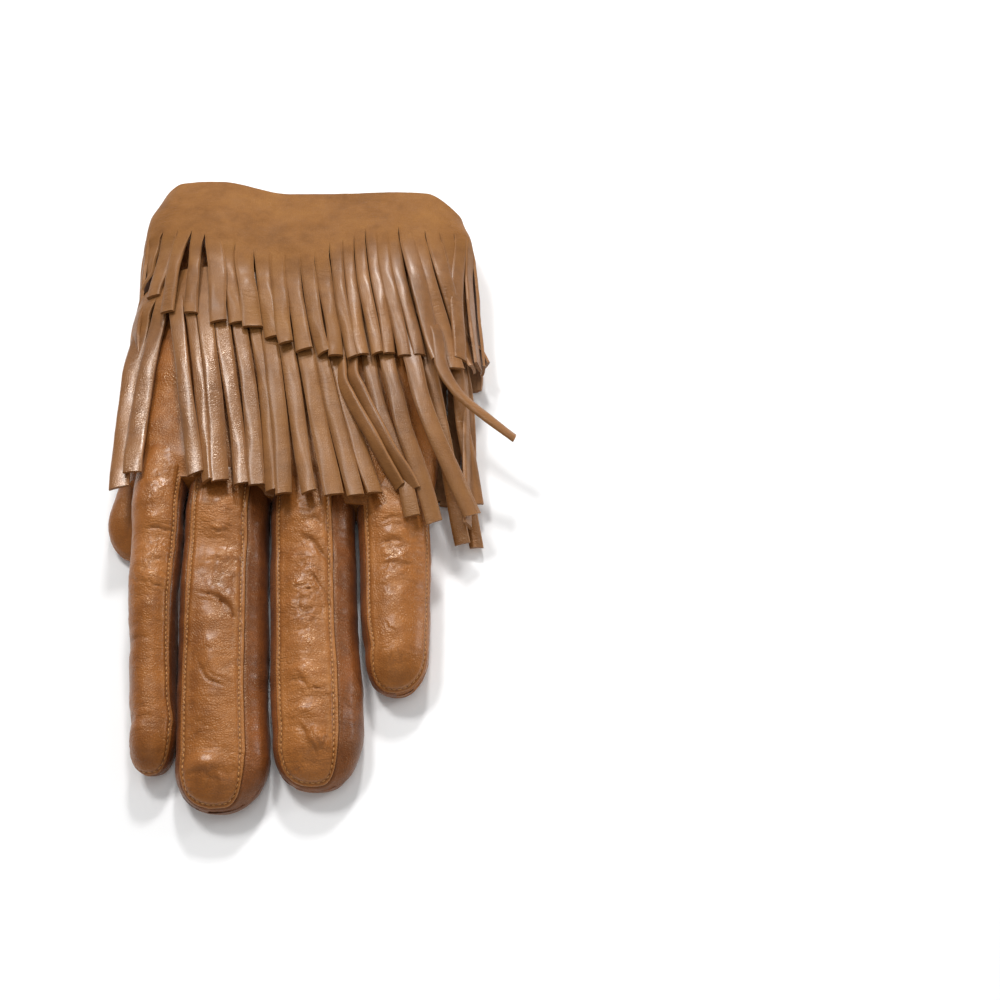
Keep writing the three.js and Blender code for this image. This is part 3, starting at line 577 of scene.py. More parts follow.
def make_finger(name, F, place, seams, owners, q, y_root=21.0, step=0.5, fan=60, tops=(2.15, 3.2), wide=16, low=9, mid=16, root_drop=0.30, plain=False):
    """owners: the pieces that the left side, the right side and the top and underside belong to. q: whether the left and the right have a seam."""
    G = finger_ribs(F, place, step, fan, y_root, seams, tops, root_drop)
    R = len(G["P"])
    st, sb, total = G["s_top"][:, None], G["s_bot"][:, None], G["arc"][:, -1][:, None]
    side, tip = G["side"], G["tip"]
    qq = np.where(side < 0, q[0], q[1])
    qq = np.maximum(qq, smooth(tip, 0.25, 0.6))[:, None] * (0.0 if plain else 1.0)
    u = np.linspace(0, 1, wide + 1)[None, :-1]
    edge = np.minimum(EDGE[::-1][None], st * 0.75)
    top_t = np.concatenate([(st - edge[:, :1]) * u, st - edge], 1)  # ridge to seam
    side_t = st + (sb - st) * np.concatenate([[0, 0.02, 0.05], np.linspace(0.09, 1, mid)])[None]
    bot_t = sb + (total - sb) * np.concatenate([[0, 0.03, 0.08], np.linspace(0.15, 1, low)])[None]
    allt = np.concatenate([top_t, side_t[:, 1:], bot_t[:, 1:]], 1)
    base = sample(G, allt)
    # normals, with the two halves joined at the ridge and under the finger
    N = -grid_normals(base)
    flipped = (N[:, allt.shape[1] // 3, 2] < 0).mean() > 0.5
    if flipped:
        N = -N
    N[:, 0] = (0, 0, 1)
    N[:, -1] = (0, 0, -1)
    N[:, 1] = N[:, 1] * 0.5 + np.array([0, 0, 0.5])
    N /= np.linalg.norm(N, axis=-1, keepdims=True) + 1e-9
    nt, ns = top_t.shape[1], side_t.shape[1]
    ct, cs = nt - 1, nt - 1 + ns - 1  # seam columns
    # arc length along the seam, for stitches and puckers
    seam = base[:, ct]
    along = np.concatenate([[0], np.cumsum(np.linalg.norm(np.diff(seam, axis=0), axis=-1))])
    topness = smooth(N[..., 2], -0.1, 0.55)
    h, deep = relief(base, topness)
    hs = side_relief(base)
    body = h * smooth(N[..., 2], -0.4, 0.5) + hs * (1 - smooth(N[..., 2], -0.4, 0.5))
    body = body * (1 - 0.75 * np.exp(-((allt - st) / 1.2) ** 2) * qq)  # calm at the seams
    # top panel: lapped, rounded at its edge, grooved and puckered at the stitch row
    d = st - top_t
    lap = LAP * (1 - 0.45 * np.exp(-((d / 0.16) ** 2)) * qq)
    pull = 0.5 + 0.5 * np.cos(2 * math.pi * along[:, None] / PITCH)
    groove = -0.26 * np.exp(-(((d - ROW) / 0.30) ** 2)) * (0.75 + 0.5 * pull) * qq
    swell = 0.14 * np.exp(-(((d - ROW - 1.1) / 0.55) ** 2)) * qq + 0.10 * np.exp(-(((d - 0.45) / 0.3) ** 2)) * qq * (1 - 0.6 * pull)
    wave = 0.12 * noise(np.stack([along[:, None] / 3.0 + 0 * d, d / 4.0, 0 * d + side[:, None] * 9], -1), 1.0, 77) * np.exp(-d / 2.0)
    off = body[:, :nt] + lap + groove + swell + wave * qq
    T = base[:, :nt] + N[:, :nt] * off[..., None]
    # painted shade in the creases and in the stitch row's groove
    cr = np.clip(deep[:, :nt] + 0.72 * np.exp(-(((d - ROW) / 0.26) ** 2)) * qq, 0, 1)
    # painted highlight along the lapped edge's rounded top and the ridge beyond the stitch row
    rub = np.clip(0.7 * np.exp(-(((d - 0.25) / 0.3) ** 2)) * qq + 0.5 * np.exp(-(((d - ROW - 1.0) / 0.5) ** 2)) * qq * smooth(noise(base[:, :nt], 6, 91), -0.2, 0.6), 0, 1)
    worn = bulges(base[:, :nt])[1] * topness[:, :nt]
    owners["top"].grid(T, 0, crease=cr, rub=rub, shine=worn)
    # its cut edge, standing on the side piece
    e0, e1 = T[:, ct], base[:, ct] - N[:, ct] * 0.35 + N[:, ct] * body[:, ct][:, None]
    strip = np.stack([e0, (e0 + e1) / 2, e1], 1)
    keep = qq[:, 0] > 0.02
    edges = np.where(keep)[0]
    for run in np.split(edges, np.where(np.diff(edges) > 1)[0] + 1):
        if len(run) > 1:
            owners["top"].grid(strip[run], 0, cut=0.8)
    # side, tucked under the lapped edge
    so = body[:, ct : cs + 1] + LAP * (1 - qq)
    ds = side_t - st
    so = so + qq * (0.16 * np.exp(-(((ds - 0.9) / 0.6) ** 2)) - 0.10 * np.exp(-(ds / 0.3) ** 2))
    S = base[:, ct : cs + 1] + N[:, ct : cs + 1] * so[..., None]
    tuck = [base[:, ct - k] + N[:, ct - k] * (body[:, ct - k] - o)[:, None] for k, o in ((3, 0.62), (1, 0.40))]
    # painted shade on the side piece just under the lapped edge; the tucked strips beneath it are painted 0.8 dark
    crs = 0.75 * np.exp(-(ds / 0.35) ** 2) * qq
    left, right = np.where(side <= 0)[0], np.where(side > 0)[0]
    left = np.append(left, right[0])
    for run, owner, has in ((left, owners["left"], q[0]), (right, owners["right"], q[1])):
        if has:
            owner.grid(np.concatenate([tuck[0][run][:, None], tuck[1][run][:, None], S[run]], 1), 0, crease=np.concatenate([np.ones((len(run), 2)) * 0.8, crs[run]], 1))
        else:
            owner.grid(S[run], 0, crease=crs[run])
            seamed = run[qq[run, 0] > 0.02]
            if len(seamed) > 1:
                owner.grid(np.stack([tuck[0][seamed], tuck[1][seamed], S[seamed][:, 0]], 1), 0, crease=0.8)
    # underside, lapped the same way
    q2 = np.where(side < 0, q[0], q[1]) * 1.0
    q2 = np.maximum(q2, smooth(tip, 0.25, 0.6))[:, None]
    if owners.get("low_flush_right"):
        q2 = np.where(side > 0, smooth(tip, 0.25, 0.6), q2[:, 0])[:, None]
    db = bot_t - sb
    bo = body[:, cs:] + LAP * (1 - 0.45 * np.exp(-((db / 0.2) ** 2)) * q2) - 0.16 * np.exp(-(((db - ROW) / 0.4) ** 2)) * q2
    B = base[:, cs:] + N[:, cs:] * bo[..., None]
    B[..., 2] = np.maximum(B[..., 2], 0.02)
    # the underside gets painted shade in its stitch row's groove
    owners["low"].grid(B, 0, crease=0.4 * np.exp(-(((db - ROW) / 0.4) ** 2)) * q2)
    rim = np.stack([B[:, 0], base[:, cs] - N[:, cs] * 0.35], 1)
    owners["low"].grid(rim, 0, flip=True, cut=0.6)
    # stitches along the top panel's row and the underside's
    row = np.array([np.interp(ROW, d[k, ::-1], np.arange(nt)[::-1].astype(float)) if d[k, 0] > ROW else nt - 2 for k in range(R)])
    k0 = np.clip(row.astype(int), 0, nt - 2)
    w = (row - k0)[:, None]
    line = T[np.arange(R), k0] * (1 - w) + T[np.arange(R), k0 + 1] * w
    ln = N[np.arange(R), k0]
    on = qq[:, 0] > 0.5
    lay_stitches(line, ln, on & (line[:, 1] < 4))
    row = np.clip(np.array([np.interp(ROW, db[k], np.arange(db.shape[1]).astype(float)) for k in range(R)]), 0, db.shape[1] - 2)
    k0 = row.astype(int)
    w = (row - k0)[:, None]
    line = B[np.arange(R), k0] * (1 - w) + B[np.arange(R), k0 + 1] * w
    lay_stitches(line, N[np.arange(R), cs + k0], (q2[:, 0] > 0.5) & (line[:, 1] < 4))
    return G


def lay_stitches(line, normal, on):
    """Short threads along a row, each dipping into the leather at its two ends."""
    seg = np.linalg.norm(np.diff(line, axis=0), axis=-1)
    arc = np.concatenate([[0], np.cumsum(seg)])
    for k in range(int(arc[-1] / PITCH)):
        a, b = (k + 0.14) * PITCH, (k + 0.86) * PITCH
        if not on[min(np.searchsorted(arc, (a + b) / 2), len(on) - 1)]:
            continue
        pts = []
        for t in np.linspace(0, 1, 5):
            s = a + (b - a) * t
            p = np.array([np.interp(s, arc, line[:, i]) for i in range(3)])
            m = np.array([np.interp(s, arc, normal[:, i]) for i in range(3)])
            m /= np.linalg.norm(m) + 1e-9
            pts.append((p + m * (0.13 * math.sin(math.pi * t) ** 0.6 - 0.06), m))
        stitches.append(pts)


def stitch_mesh(name, rng):
    s = Soup()
    for pts in stitches:
        P = np.array([p for p, _ in pts])
        M = np.array([m for _, m in pts])
        T = np.gradient(P, axis=0)
        T /= np.linalg.norm(T, axis=-1, keepdims=True) + 1e-9
        B = np.cross(T, M)
        B /= np.linalg.norm(B, axis=-1, keepdims=True) + 1e-9
        U = np.cross(B, T)
        skew = rng.normal(0, 0.05)
        P = P + B * (np.linspace(-1, 1, 5) * skew)[:, None]
        rad = np.array([0.08, 0.14, 0.16, 0.14, 0.08]) * rng.uniform(0.9, 1.1)
        ang = np.arange(6) / 6 * 2 * math.pi
        rings = P[:, None] + rad[:, None, None] * (np.cos(ang)[None, :, None] * B[:, None] + np.sin(ang)[None, :, None] * U[:, None])
        n0 = s.n
        s.grid(rings, 0, closed=True)
        s.f.append((np.arange(6)[::-1] + n0).tolist())
        s.m.append(0)
        s.f.append((np.arange(6) + n0 + 24).tolist())
        s.m.append(0)
    return s.make(name, [THREAD], weld=None)


trank, thumb = Soup(), Soup()
forks = {n: Soup() for n in ("fourchette_index_middle", "fourchette_middle_ring", "fourchette_ring_little")}
f1, f2, f3 = forks.values()
#            top seam: left, tip, right; bottom seam: left, tip, right (shares of the half width)
make_finger("index", dict(FINGERS["index"], tuck=1.5), body_place, (0.96, 0.985, 0.86, 0.92, 0.93, 0.75), dict(top=trank, low=trank, left=trank, right=f1), (0, 1))
make_finger("middle", FINGERS["middle"], body_place, (0.80, 0.945, 0.57, 0.6, 0.95, 0.8), dict(top=trank, low=trank, left=f1, right=f2), (1, 1))
make_finger("ring", FINGERS["ring"], body_place, (0.80, 0.945, 0.52, 0.6, 0.95, 0.8), dict(top=trank, low=trank, left=f2, right=f3), (1, 1))
make_finger("little", FINGERS["little"], body_place, (0.76, 0.965, 0.95, 0.7, 0.95, 0.93), dict(top=trank, low=trank, left=f3, right=trank, low_flush_right=True), (1, 1))
make_finger("thumb", THUMB, thumb_place, (0.93, 0.96, 0.8, 0.9, 0.95, 0.8), dict(top=thumb, low=thumb, left=thumb, right=thumb), (1, 1), y_root=46.0, step=0.9, fan=44, tops=(2.6, 3.0), root_drop=0.0, plain=True)


# ---------------------------------------------------------------- the hand and the cuff
def hand_rings(inset, ys, count):
    t = 2 * math.pi * (np.arange(count) + 0.5) / count
    c, s = np.cos(t), np.sin(t)
    n = np.where(s > 0, 2.6, 3.6)
    r = (np.abs(c) ** n + np.abs(s) ** n) ** (-1 / n)
    L, R, H = (column(PALM, k, ys) for k in (1, 2, 3))
    L, R = L + inset, R - inset
    lo, hi = inset + 0 * H, H - inset
    mid = lo + 0.42 * (hi - lo)
    x = ((L + R) / 2)[:, None] + ((R - L) / 2)[:, None] * (r * c)[None]
    flat = np.where(s > 0, r * s, np.maximum(1.12 * r * s, -1))[None]
    z = mid[:, None] + np.where(flat > 0, (hi - mid)[:, None], (mid - lo)[:, None]) * flat
    yy = ys[:, None] + 0 * x
    P = body_place(x, yy, z)
    front = -7 * smooth(x, 12, 26) * (1 - smooth(yy, 3, 22))
    P[..., 1] = yy + front + hem(x, yy)
    return P


ys = np.concatenate([np.linspace(-3.0, 6, 8), np.arange(7.5, CUFF_END, 1.6), [CUFF_END]])
outer = hand_rings(0.0, ys, 200)
close = hand_rings(0.0, np.full(4, ys[0]), 200)
shrink = np.array([0.02, 0.45, 0.75, 0.93])[:, None, None]
centre = close.mean(1, keepdims=True)
close = centre + (close - centre) * np.array([1, 1, 1.0]) * shrink
close[..., 1] -= 0.0
N = grid_normals(np.concatenate([outer, outer[:, :1]], 1))[:, :-1]
h = 0.35 * fbm(outer, (16, 20, 14), 5) + 0.10 * fbm(outer, (7, 5, 6), 8)
hand_bulge, hand_shine = bulges(outer)
out_sign = -1.0 if (N[20, 50] * np.array([0, 0, 1])).sum() < 0 else 1.0
N = N * out_sign
hand_top = smooth(N[..., 2], 0.1, 0.6)
P = outer + N * ((h + hand_bulge * hand_top)[..., None] + 0.3)
P[..., 2] = np.maximum(P[..., 2], under(P[..., 1]) + 0.05)
trank.grid(np.concatenate([close, P], 0), 0, closed=True, flip=out_sign > 0, shine=np.concatenate([np.zeros(close.shape[:2]), hand_shine * hand_top], 0))
inner = hand_rings(1.2, np.concatenate([[10.0], np.arange(14.0, CUFF_END, 2.4), [CUFF_END]]), 200)
rim_n = 4
rim = [P[-1] + (inner[-1] - P[-1]) * k / rim_n + np.array([0, 0.35 * math.sin(math.pi * k / rim_n), 0]) for k in range(rim_n + 1)]
trank.grid(np.stack(rim), 0, closed=True, flip=out_sign > 0, cut=0.7)
trank.grid(inner, 1, closed=True, flip=out_sign < 0)

# ---------------------------------------------------------------- the two tiers of fringe
# How high the glove stands under every millimetre of the plan, so that no strand sinks into it
GX, GY, CELL = -70.0, -110.0, 0.8
ground = np.zeros((176, 280))
for soup_ in (trank, thumb, *forks.values()):
    pts = np.concatenate(soup_.v)
    np.maximum.at(ground, (((pts[:, 0] - GX) / CELL).astype(int), ((pts[:, 1] - GY) / CELL).astype(int)), pts[:, 2])
for _ in range(2):
    wide = ground.copy()
    for dx, dy in ((1, 0), (-1, 0), (0, 1), (0, -1)):
        wide = np.maximum(wide, np.roll(ground, (dx, dy), (0, 1)))
    ground = wide


def ground_at(x, y):
    i = np.clip(((np.asarray(x) - GX) / CELL).astype(int), 0, ground.shape[0] - 1)
    j = np.clip(((np.asarray(y) - GY) / CELL).astype(int), 0, ground.shape[1] - 1)
    return ground[i, j]


def eased(values, reach):
    """Running maximum, then a running mean, so that what is lifted stays smooth."""
    v = np.asarray(values, float)
    n = len(v)
    top = np.array([v[max(0, k - reach) : k + reach + 1].max() for k in range(n)])
    return np.array([top[max(0, k - reach) : k + reach + 1].mean() for k in range(n)])


rng = np.random.default_rng(20)
TT = np.linspace(0, 2 * math.pi, 1441)


class Tier:
    def __init__(self, rows, bottom, out=0.0):
        self.rows, self.bottom, self.out = rows, bottom, out

    def at(self, y, t):
        """Outer surface at stations y and section angles t (same shape)."""
        y, t = np.broadcast_arrays(np.asarray(y, float), np.asarray(t, float))
        L, R, hi, thick, sq = (column(self.rows, k, y) for k in (1, 2, 3, 4, 5))
        c, s = np.cos(t), np.sin(t)
        n = np.where(s > 0, sq, 7.0)
        r = (np.abs(c) ** n + np.abs(s) ** n + 1e-12) ** (-1 / n)
        lo = self.bottom(y)
        mid = lo + (0.32 + 0.18 * smooth(y, 60, 93)) * (hi - lo)
        L = L - self.out * (0.4 * smooth(y, 4, 34) + 0.6 * smooth(y, 32, 50)) * (1 - smooth(y, 60, 68))
        x = (L + R) / 2 + (R - L) / 2 * r * c
        flat = np.where(s > 0, r * s, np.maximum(1.12 * r * s, -1))
        z = mid + np.where(s > 0, hi - mid, mid - lo) * flat
        z = z + np.where(s > 0, THUMB_BULGE * over_thumb(x, y) * smooth(s, 0, 0.5), 0)
        return np.stack([x, y + hem(x, y), z], -1)

    def frame(self, y, t):
        e = 0.004
        p = self.at(y, t)
        T = self.at(y, t + e) - self.at(y, t - e)
        V = self.at(np.asarray(y) - 0.5, t) - self.at(np.asarray(y) + 0.5, t)
        T /= np.linalg.norm(T, axis=-1, keepdims=True) + 1e-12
        V /= np.linalg.norm(V, axis=-1, keepdims=True) + 1e-12
        N = np.cross(V, T)
        N /= np.linalg.norm(N, axis=-1, keepdims=True) + 1e-12
        up = p - np.stack([0 * p[..., 0], p[..., 1], 0 * p[..., 2] + 9.0], -1)
        sign = np.where((N * up * np.array([1, 0, 1])).sum(-1) < 0, -1.0, 1.0)
        return p, T, N * sign[..., None]

    def arc(self, y):
        """Arc length round the section at one station, from the right side over the top."""
        P = self.at(np.full_like(TT, y), TT)
        P[:, 1] = y
        return np.concatenate([[0], np.cumsum(np.linalg.norm(np.diff(P, axis=0), axis=-1))])

    def angle_of_x(self, y, x):
        """Section angle on the upper half whose point has that x."""
        t = TT[(TT <= math.pi)]
        P = self.at(np.full_like(t, y), t)[:, 0]
        return np.interp(-x, -P, t)


def strip(soup, tier, t0, t1, cut, tw, S):
    """One strand with its share of the uncut band. S: its charted row, or None for a plain one.

    t0, t1: its angles at the band's edge. tw: its own random values."""
    top_y = tier.rows[-1][0] if tier.rows[-1][0] > tier.rows[0][0] else tier.rows[0][0]
    tm = (t0 + t1) / 2
    W = np.array([-0.5, -0.44, -0.30, -0.1, 0.1, 0.30, 0.44, 0.5])
    n_band, n_free = tw["n_band"], 46  # rows of the band: how many down to which station
    yb = np.linspace(top_y, n_band[1], n_band[0])
    yb = np.concatenate([yb, np.arange(n_band[1] - 1.5, cut + 0.4, -1.5)])
    n_band = len(yb)
    tt = tm + W[None] * (t1 - t0)
    band = tier.at(yb[:, None], np.broadcast_to(tt, (n_band, len(W))))
    bp, bt, bn = tier.frame(np.broadcast_to(yb[:, None], (n_band, len(W))), np.broadcast_to(tt, (n_band, len(W))))
    v = np.linspace(0, 1, n_free)
    end = tw["end"] if not S else S["path"][-1][1] if "path" in S else S["y"]
    y = cut + (end - cut) * v
    x0 = float(tier.at(cut, tm)[0])
    way3 = None
    if S and S.get("path"):
        root = tier.at(cut, tm)
        pts = np.array([root, *S["path"]], float)
        along = np.concatenate([[0], np.cumsum(np.linalg.norm(np.diff(pts, axis=0), axis=-1))])
        way3 = np.stack([curve(along, pts[:, i], v * along[-1]) for i in range(3)], -1)
        y = np.clip(way3[:, 1], tier.rows[0][0] if tier.rows[0][0] < tier.rows[-1][0] else tier.rows[-1][0], cut)
        t = np.array([tier.angle_of_x(a, b) for a, b in zip(y, way3[:, 0])])
        beyond = 0 * v
    elif S and S.get("x") is not None:
        xs = x0 + (S["x"] - x0) * (v ** S.get("g", 1.25)) + S.get("sway", 0.0) * np.sin(math.pi * v)
        t = np.array([tier.angle_of_x(a, b) for a, b in zip(y, xs)])
        beyond = xs - np.array([float(tier.at(a, b)[0]) for a, b in zip(y, t)])
    else:
        L = tier.arc(float(cut))
        per = np.gradient(L, TT)
        scale = np.interp(tm % (2 * math.pi), TT, per)
        t = tm + (tw["drift"] * v**1.3 + tw["wobble"] * np.sin(v * 5 + tw["phase"]) * v) / max(scale, 5.0)
        xs, beyond = None, 0 * v
    p, T, N = tier.frame(y, t)
    T = T * (1.0 if t1 > t0 else -1.0)
    thick = column(tier.rows, 4, y)
    flat = 1 - smooth(N[:, 2], -0.75, -0.2)  # 1 under the glove
    up = smooth(N[:, 2], 0.1, 0.6)
    sink = -(thick - LEATHER - 0.2) * smooth(v, 0, 0.35) * up
    bow = tw["lift"] * np.sin(math.pi * np.clip(v * 1.02, 0, 1)) ** 1.3 * (1 - flat)
    curl = tw["curl"] * smooth(v, 0.6, 1.0) * (1 - flat)
    C = p + N * (sink + bow + curl)[:, None]
    C[:, 0] += beyond
    C[:, 0] += 0.35 * np.sin(v * 7 + tw["phase"]) * v * up
    if S and S.get("z") is not None:
        C[:, 2] = C[:, 2] * (1 - smooth(v, 0.35, 1.0)) + S["z"] * smooth(v, 0.35, 1.0)
    if way3 is not None:
        C = way3 + N * (0.35 * np.sin(math.pi * v))[:, None]
    if S:
        # it lies on what is under it
        half = 0.4 * S.get("w", 4.2)
        under_it = np.max([ground_at(C[:, 0] + o, C[:, 1]) for o in (-half, 0, half)], axis=0)
        C[:, 2] += eased(np.clip(under_it + LEATHER + 0.35 - C[:, 2], 0, 6), 3) * smooth(v, 0.0, 0.15)
    V = np.gradient(C, axis=0)
    V /= np.linalg.norm(V, axis=-1, keepdims=True) + 1e-12
    if way3 is not None:
        across = np.cross(np.array([0.0, 0, 1]), V)
        across /= np.linalg.norm(across, axis=-1, keepdims=True) + 1e-9
        T = T * (1 - smooth(v, 0.1, 0.4))[:, None] + across * smooth(v, 0.1, 0.4)[:, None]
        N = N * (1 - smooth(v, 0.1, 0.4))[:, None] + np.cross(V, across) * smooth(v, 0.1, 0.4)[:, None]
    B = T - (T * V).sum(-1, keepdims=True) * V
    B /= np.linalg.norm(B, axis=-1, keepdims=True) + 1e-12
    M = np.cross(B, V)
    M *= np.where((M * N).sum(-1, keepdims=True) < 0, -1, 1)
    twist = math.radians(S.get("twist", tw["twist"]) if S else tw["twist"]) * (v ** 1.4) * (1 - flat)
    twist = twist + math.radians(S.get("roll", 0.0) if S else 0.0) * smooth(v, 0.05, 0.35)
    cs, sn = np.cos(twist)[:, None], np.sin(twist)[:, None]
    Bt, Mt = B * cs + M * sn, M * cs - B * sn
    band_w = float(np.linalg.norm(tier.at(cut, t1) - tier.at(cut, t0)))
    width = (S.get("w", 4.2) if S else tw["width"]) * (1 + 0.05 * np.sin(v * 6 + tw["phase"] * 2))
    width = band_w * (1 - smooth(v, 0, 0.10)) * 0.97 + width * smooth(v, 0, 0.10)
    cup = (S.get("cup", tw["cup"]) if S else tw["cup"]) * smooth(v, 0.08, 0.5) * (1 - 0.85 * flat)
    w = W[None]
    arch = cup[:, None] * (0.33 - 4 * w * w * 0.66)
    arch = arch + (0.10 * np.sin(v * 17 + tw["phase"]) * smooth(v, 0.2, 0.5))[:, None] * np.sin(w * 5 + tw["phase"])
    mid = C[:, None] + Bt[:, None] * (w * width[:, None])[..., None] + Mt[:, None] * arch[..., None]
    # in its first few millimetres it still follows the band
    tf = t[:, None] + w * (t1 - t0)
    follow = tier.at(np.broadcast_to(y[:, None], tf.shape), tf)
    mid = mid + V[:, None] * (w * tw["slant"] * smooth(v, 0.8, 1.0)[:, None])[..., None]
    k = smooth(v, 0, 0.16)[:, None, None]
    mid = follow * (1 - k) + mid * k
    Mf = Mt[:, None] + 0 * mid
    outer = np.concatenate([band, mid], 0)
    norm = np.concatenate([bn, bn[-1:] * (1 - k) + Mf * k], 0)
    norm /= np.linalg.norm(norm, axis=-1, keepdims=True) + 1e-12
    fine = 0.10 * fbm(outer, (5, 9, 5), 111) + 0.05 * noise(outer, (2.4, 3.5, 2.4), 113)
    down = np.clip(-norm[..., 2], 0, 1)
    outer = outer + norm * (fine * (1 - down))[..., None]
    inner = outer - norm * LEATHER
    # soften the two long edges
    free = np.concatenate([np.zeros(n_band), smooth(v, 0.0, 0.05)])[:, None]
    lip = np.array([0.20, 0.03, 0, 0, 0, 0, 0.03, 0.20])[None] * free
    outer = outer - norm * lip[..., None]
    low = np.minimum(outer[..., 2], inner[..., 2])
    fix = np.maximum(0.03 - low, 0)[..., None] * np.array([0, 0, 1])
    outer, inner = outer + fix, inner + fix
    cutm = np.zeros(outer.shape[:2])
    cutm[:, 0] = cutm[:, -1] = 0.6
    cutm *= free
    # a darker line just inside each strand's long edges, and each strand's own random tone, both go into the same
    # colour attribute as the painted shade
    edge_dark = np.zeros(outer.shape[:2])
    edge_dark[:, 1] = edge_dark[:, -2] = 0.12
    edge_dark *= free
    # painted highlight: paler colour along the middle of each strand, where its cupped crown catches the light
    rubm = np.zeros(outer.shape[:2])
    rubm[n_band:, 3:5] = (0.25 * smooth(v, 0.3, 0.9) * max(0.0, tw["rub"]))[:, None]
    tone = np.clip(edge_dark + tw["tone"] * np.concatenate([np.zeros(n_band), smooth(v, 0, 0.2)])[:, None], 0, 1)
    matt = np.concatenate([np.zeros(n_band), smooth(v, 0.03, 0.45)])[:, None] * (tw["matt"][1] - tw["matt"][0]) + tw["matt"][0] + np.zeros(outer.shape[:2])
    gloss = np.concatenate([np.zeros(n_band), smooth(v, 0.1, 0.4)])[:, None] * tw["shine"] + np.zeros(outer.shape[:2])
    way = t1 > t0
    soup.grid(outer, 0, flip=way, cut=cutm, crease=tone, rub=rubm, matt=matt, shine=gloss)
    soup.grid(inner, 1, flip=not way)
    # long edges and the end
    s0 = n_band
    soup.grid(np.stack([outer[s0:, 0], inner[s0:, 0]], 1), 0, flip=not way, cut=1.0)
    soup.grid(np.stack([outer[s0:, -1], inner[s0:, -1]], 1), 0, flip=way, cut=1.0)
    soup.grid(np.stack([outer[-1], inner[-1]], 0), 0, flip=way, cut=1.0)
    # the band's upper edge
    soup.grid(np.stack([outer[0], inner[0]], 0), 0, flip=not way, cut=0.5)


def tier_mesh(name, tier, charted, spread, cut_of, end_of, pitch, seed, n_band, swing):
    """charted: rows for the strands on top, from left to right, by their roots' x. The rest are spread evenly round the sides and underneath."""
    soup = Soup()
    r = np.random.default_rng(seed)
    y_cut = spread
    arc = tier.arc(y_cut)
    total = arc[-1]
    roots = [S["r"] for S in charted]
    bounds = [roots[0] - (roots[1] - roots[0]) / 2] + [(a + b) / 2 for a, b in zip(roots, roots[1:])] + [roots[-1] + (roots[-1] - roots[-2]) / 2]
    ang = [float(tier.angle_of_x(y_cut, b)) for b in bounds]
    pieces = [(ang[k], ang[k + 1], charted[k]) for k in range(len(charted))]
    # the rest of the loop, from the left-most strand round underneath to the right-most
    a0, a1 = ang[-1] + 2 * math.pi, ang[0]
    s1 = np.interp(a1, TT, arc)
    s0 = np.interp(ang[-1], TT, arc) + total
    n = int(round((s0 - s1) / pitch))
    cuts = s1 + (s0 - s1) * (np.arange(n + 1) + np.concatenate([[0], r.uniform(-0.12, 0.12, n - 1), [0]])) / n
    rest = [np.interp(c if c <= total else c - total, arc, TT) + (0 if c <= total else 2 * math.pi) for c in cuts]
    pieces += [(rest[k], rest[k + 1], None) for k in range(n)]
    for k, (a, b, S) in enumerate(pieces):
        m = (a + b) / 2
        x, z = tier.at(y_cut, m)[0], tier.at(y_cut, m)[2]
        tw = dict(
            n_band=n_band, end=end_of(x, z) + r.uniform(-1.8, 1.8), drift=r.uniform(-2.2, 1.2), wobble=r.uniform(-0.8, 0.8), phase=r.uniform(0, 6.28),
            lift=r.uniform(0.1, 0.9), curl=r.uniform(-0.2, 0.8), twist=r.uniform(-14, 14), width=pitch * r.uniform(0.86, 0.96), cup=r.uniform(0.15, 0.5), rub=r.uniform(-0.3, 1.0), tone=r.uniform(0.04, 0.26),
        )
        tw["slant"] = r.uniform(-1.0, 1.0)
        tw["shine"] = r.uniform(0.0, 0.35) + 0.3 * float(smooth(x, 4, 22)) + (0.5 if n_band[1] < 70 and x < -20 else 0.0)
        if n_band[1] < 70:
            tw["curl"] = r.uniform(0.5, 1.5)
        # how matt the band and the strand are
        tw["matt"] = (1.0, 0.62 - 0.2 * float(smooth(x, 4, 22))) if n_band[1] > 70 else (0.3, 0.45 * float(smooth(x, -24, -8)))
        if not S:
            # at the sides the strands hang down and are folded in underneath
            side = math.exp(-(((m - math.pi - 0.15) / 0.75) ** 2)) * swing[0] - math.exp(-(((m - 2 * math.pi + 0.1) / 0.6) ** 2)) * swing[1]
            tw["drift"] += side
            if n_band[1] < 70 and x < -40 and z > 7:
                # under the left-most charted strand
                tw["lift"], tw["curl"] = -1.4, -0.2
        if S:
            tw["lift"] = S.get("lift", tw["lift"])
        strip(soup, tier, a, b, cut_of(x) + (r.uniform(-1.5, 1.5) if n_band[1] > 70 else 0.0), tw, S)
    return soup


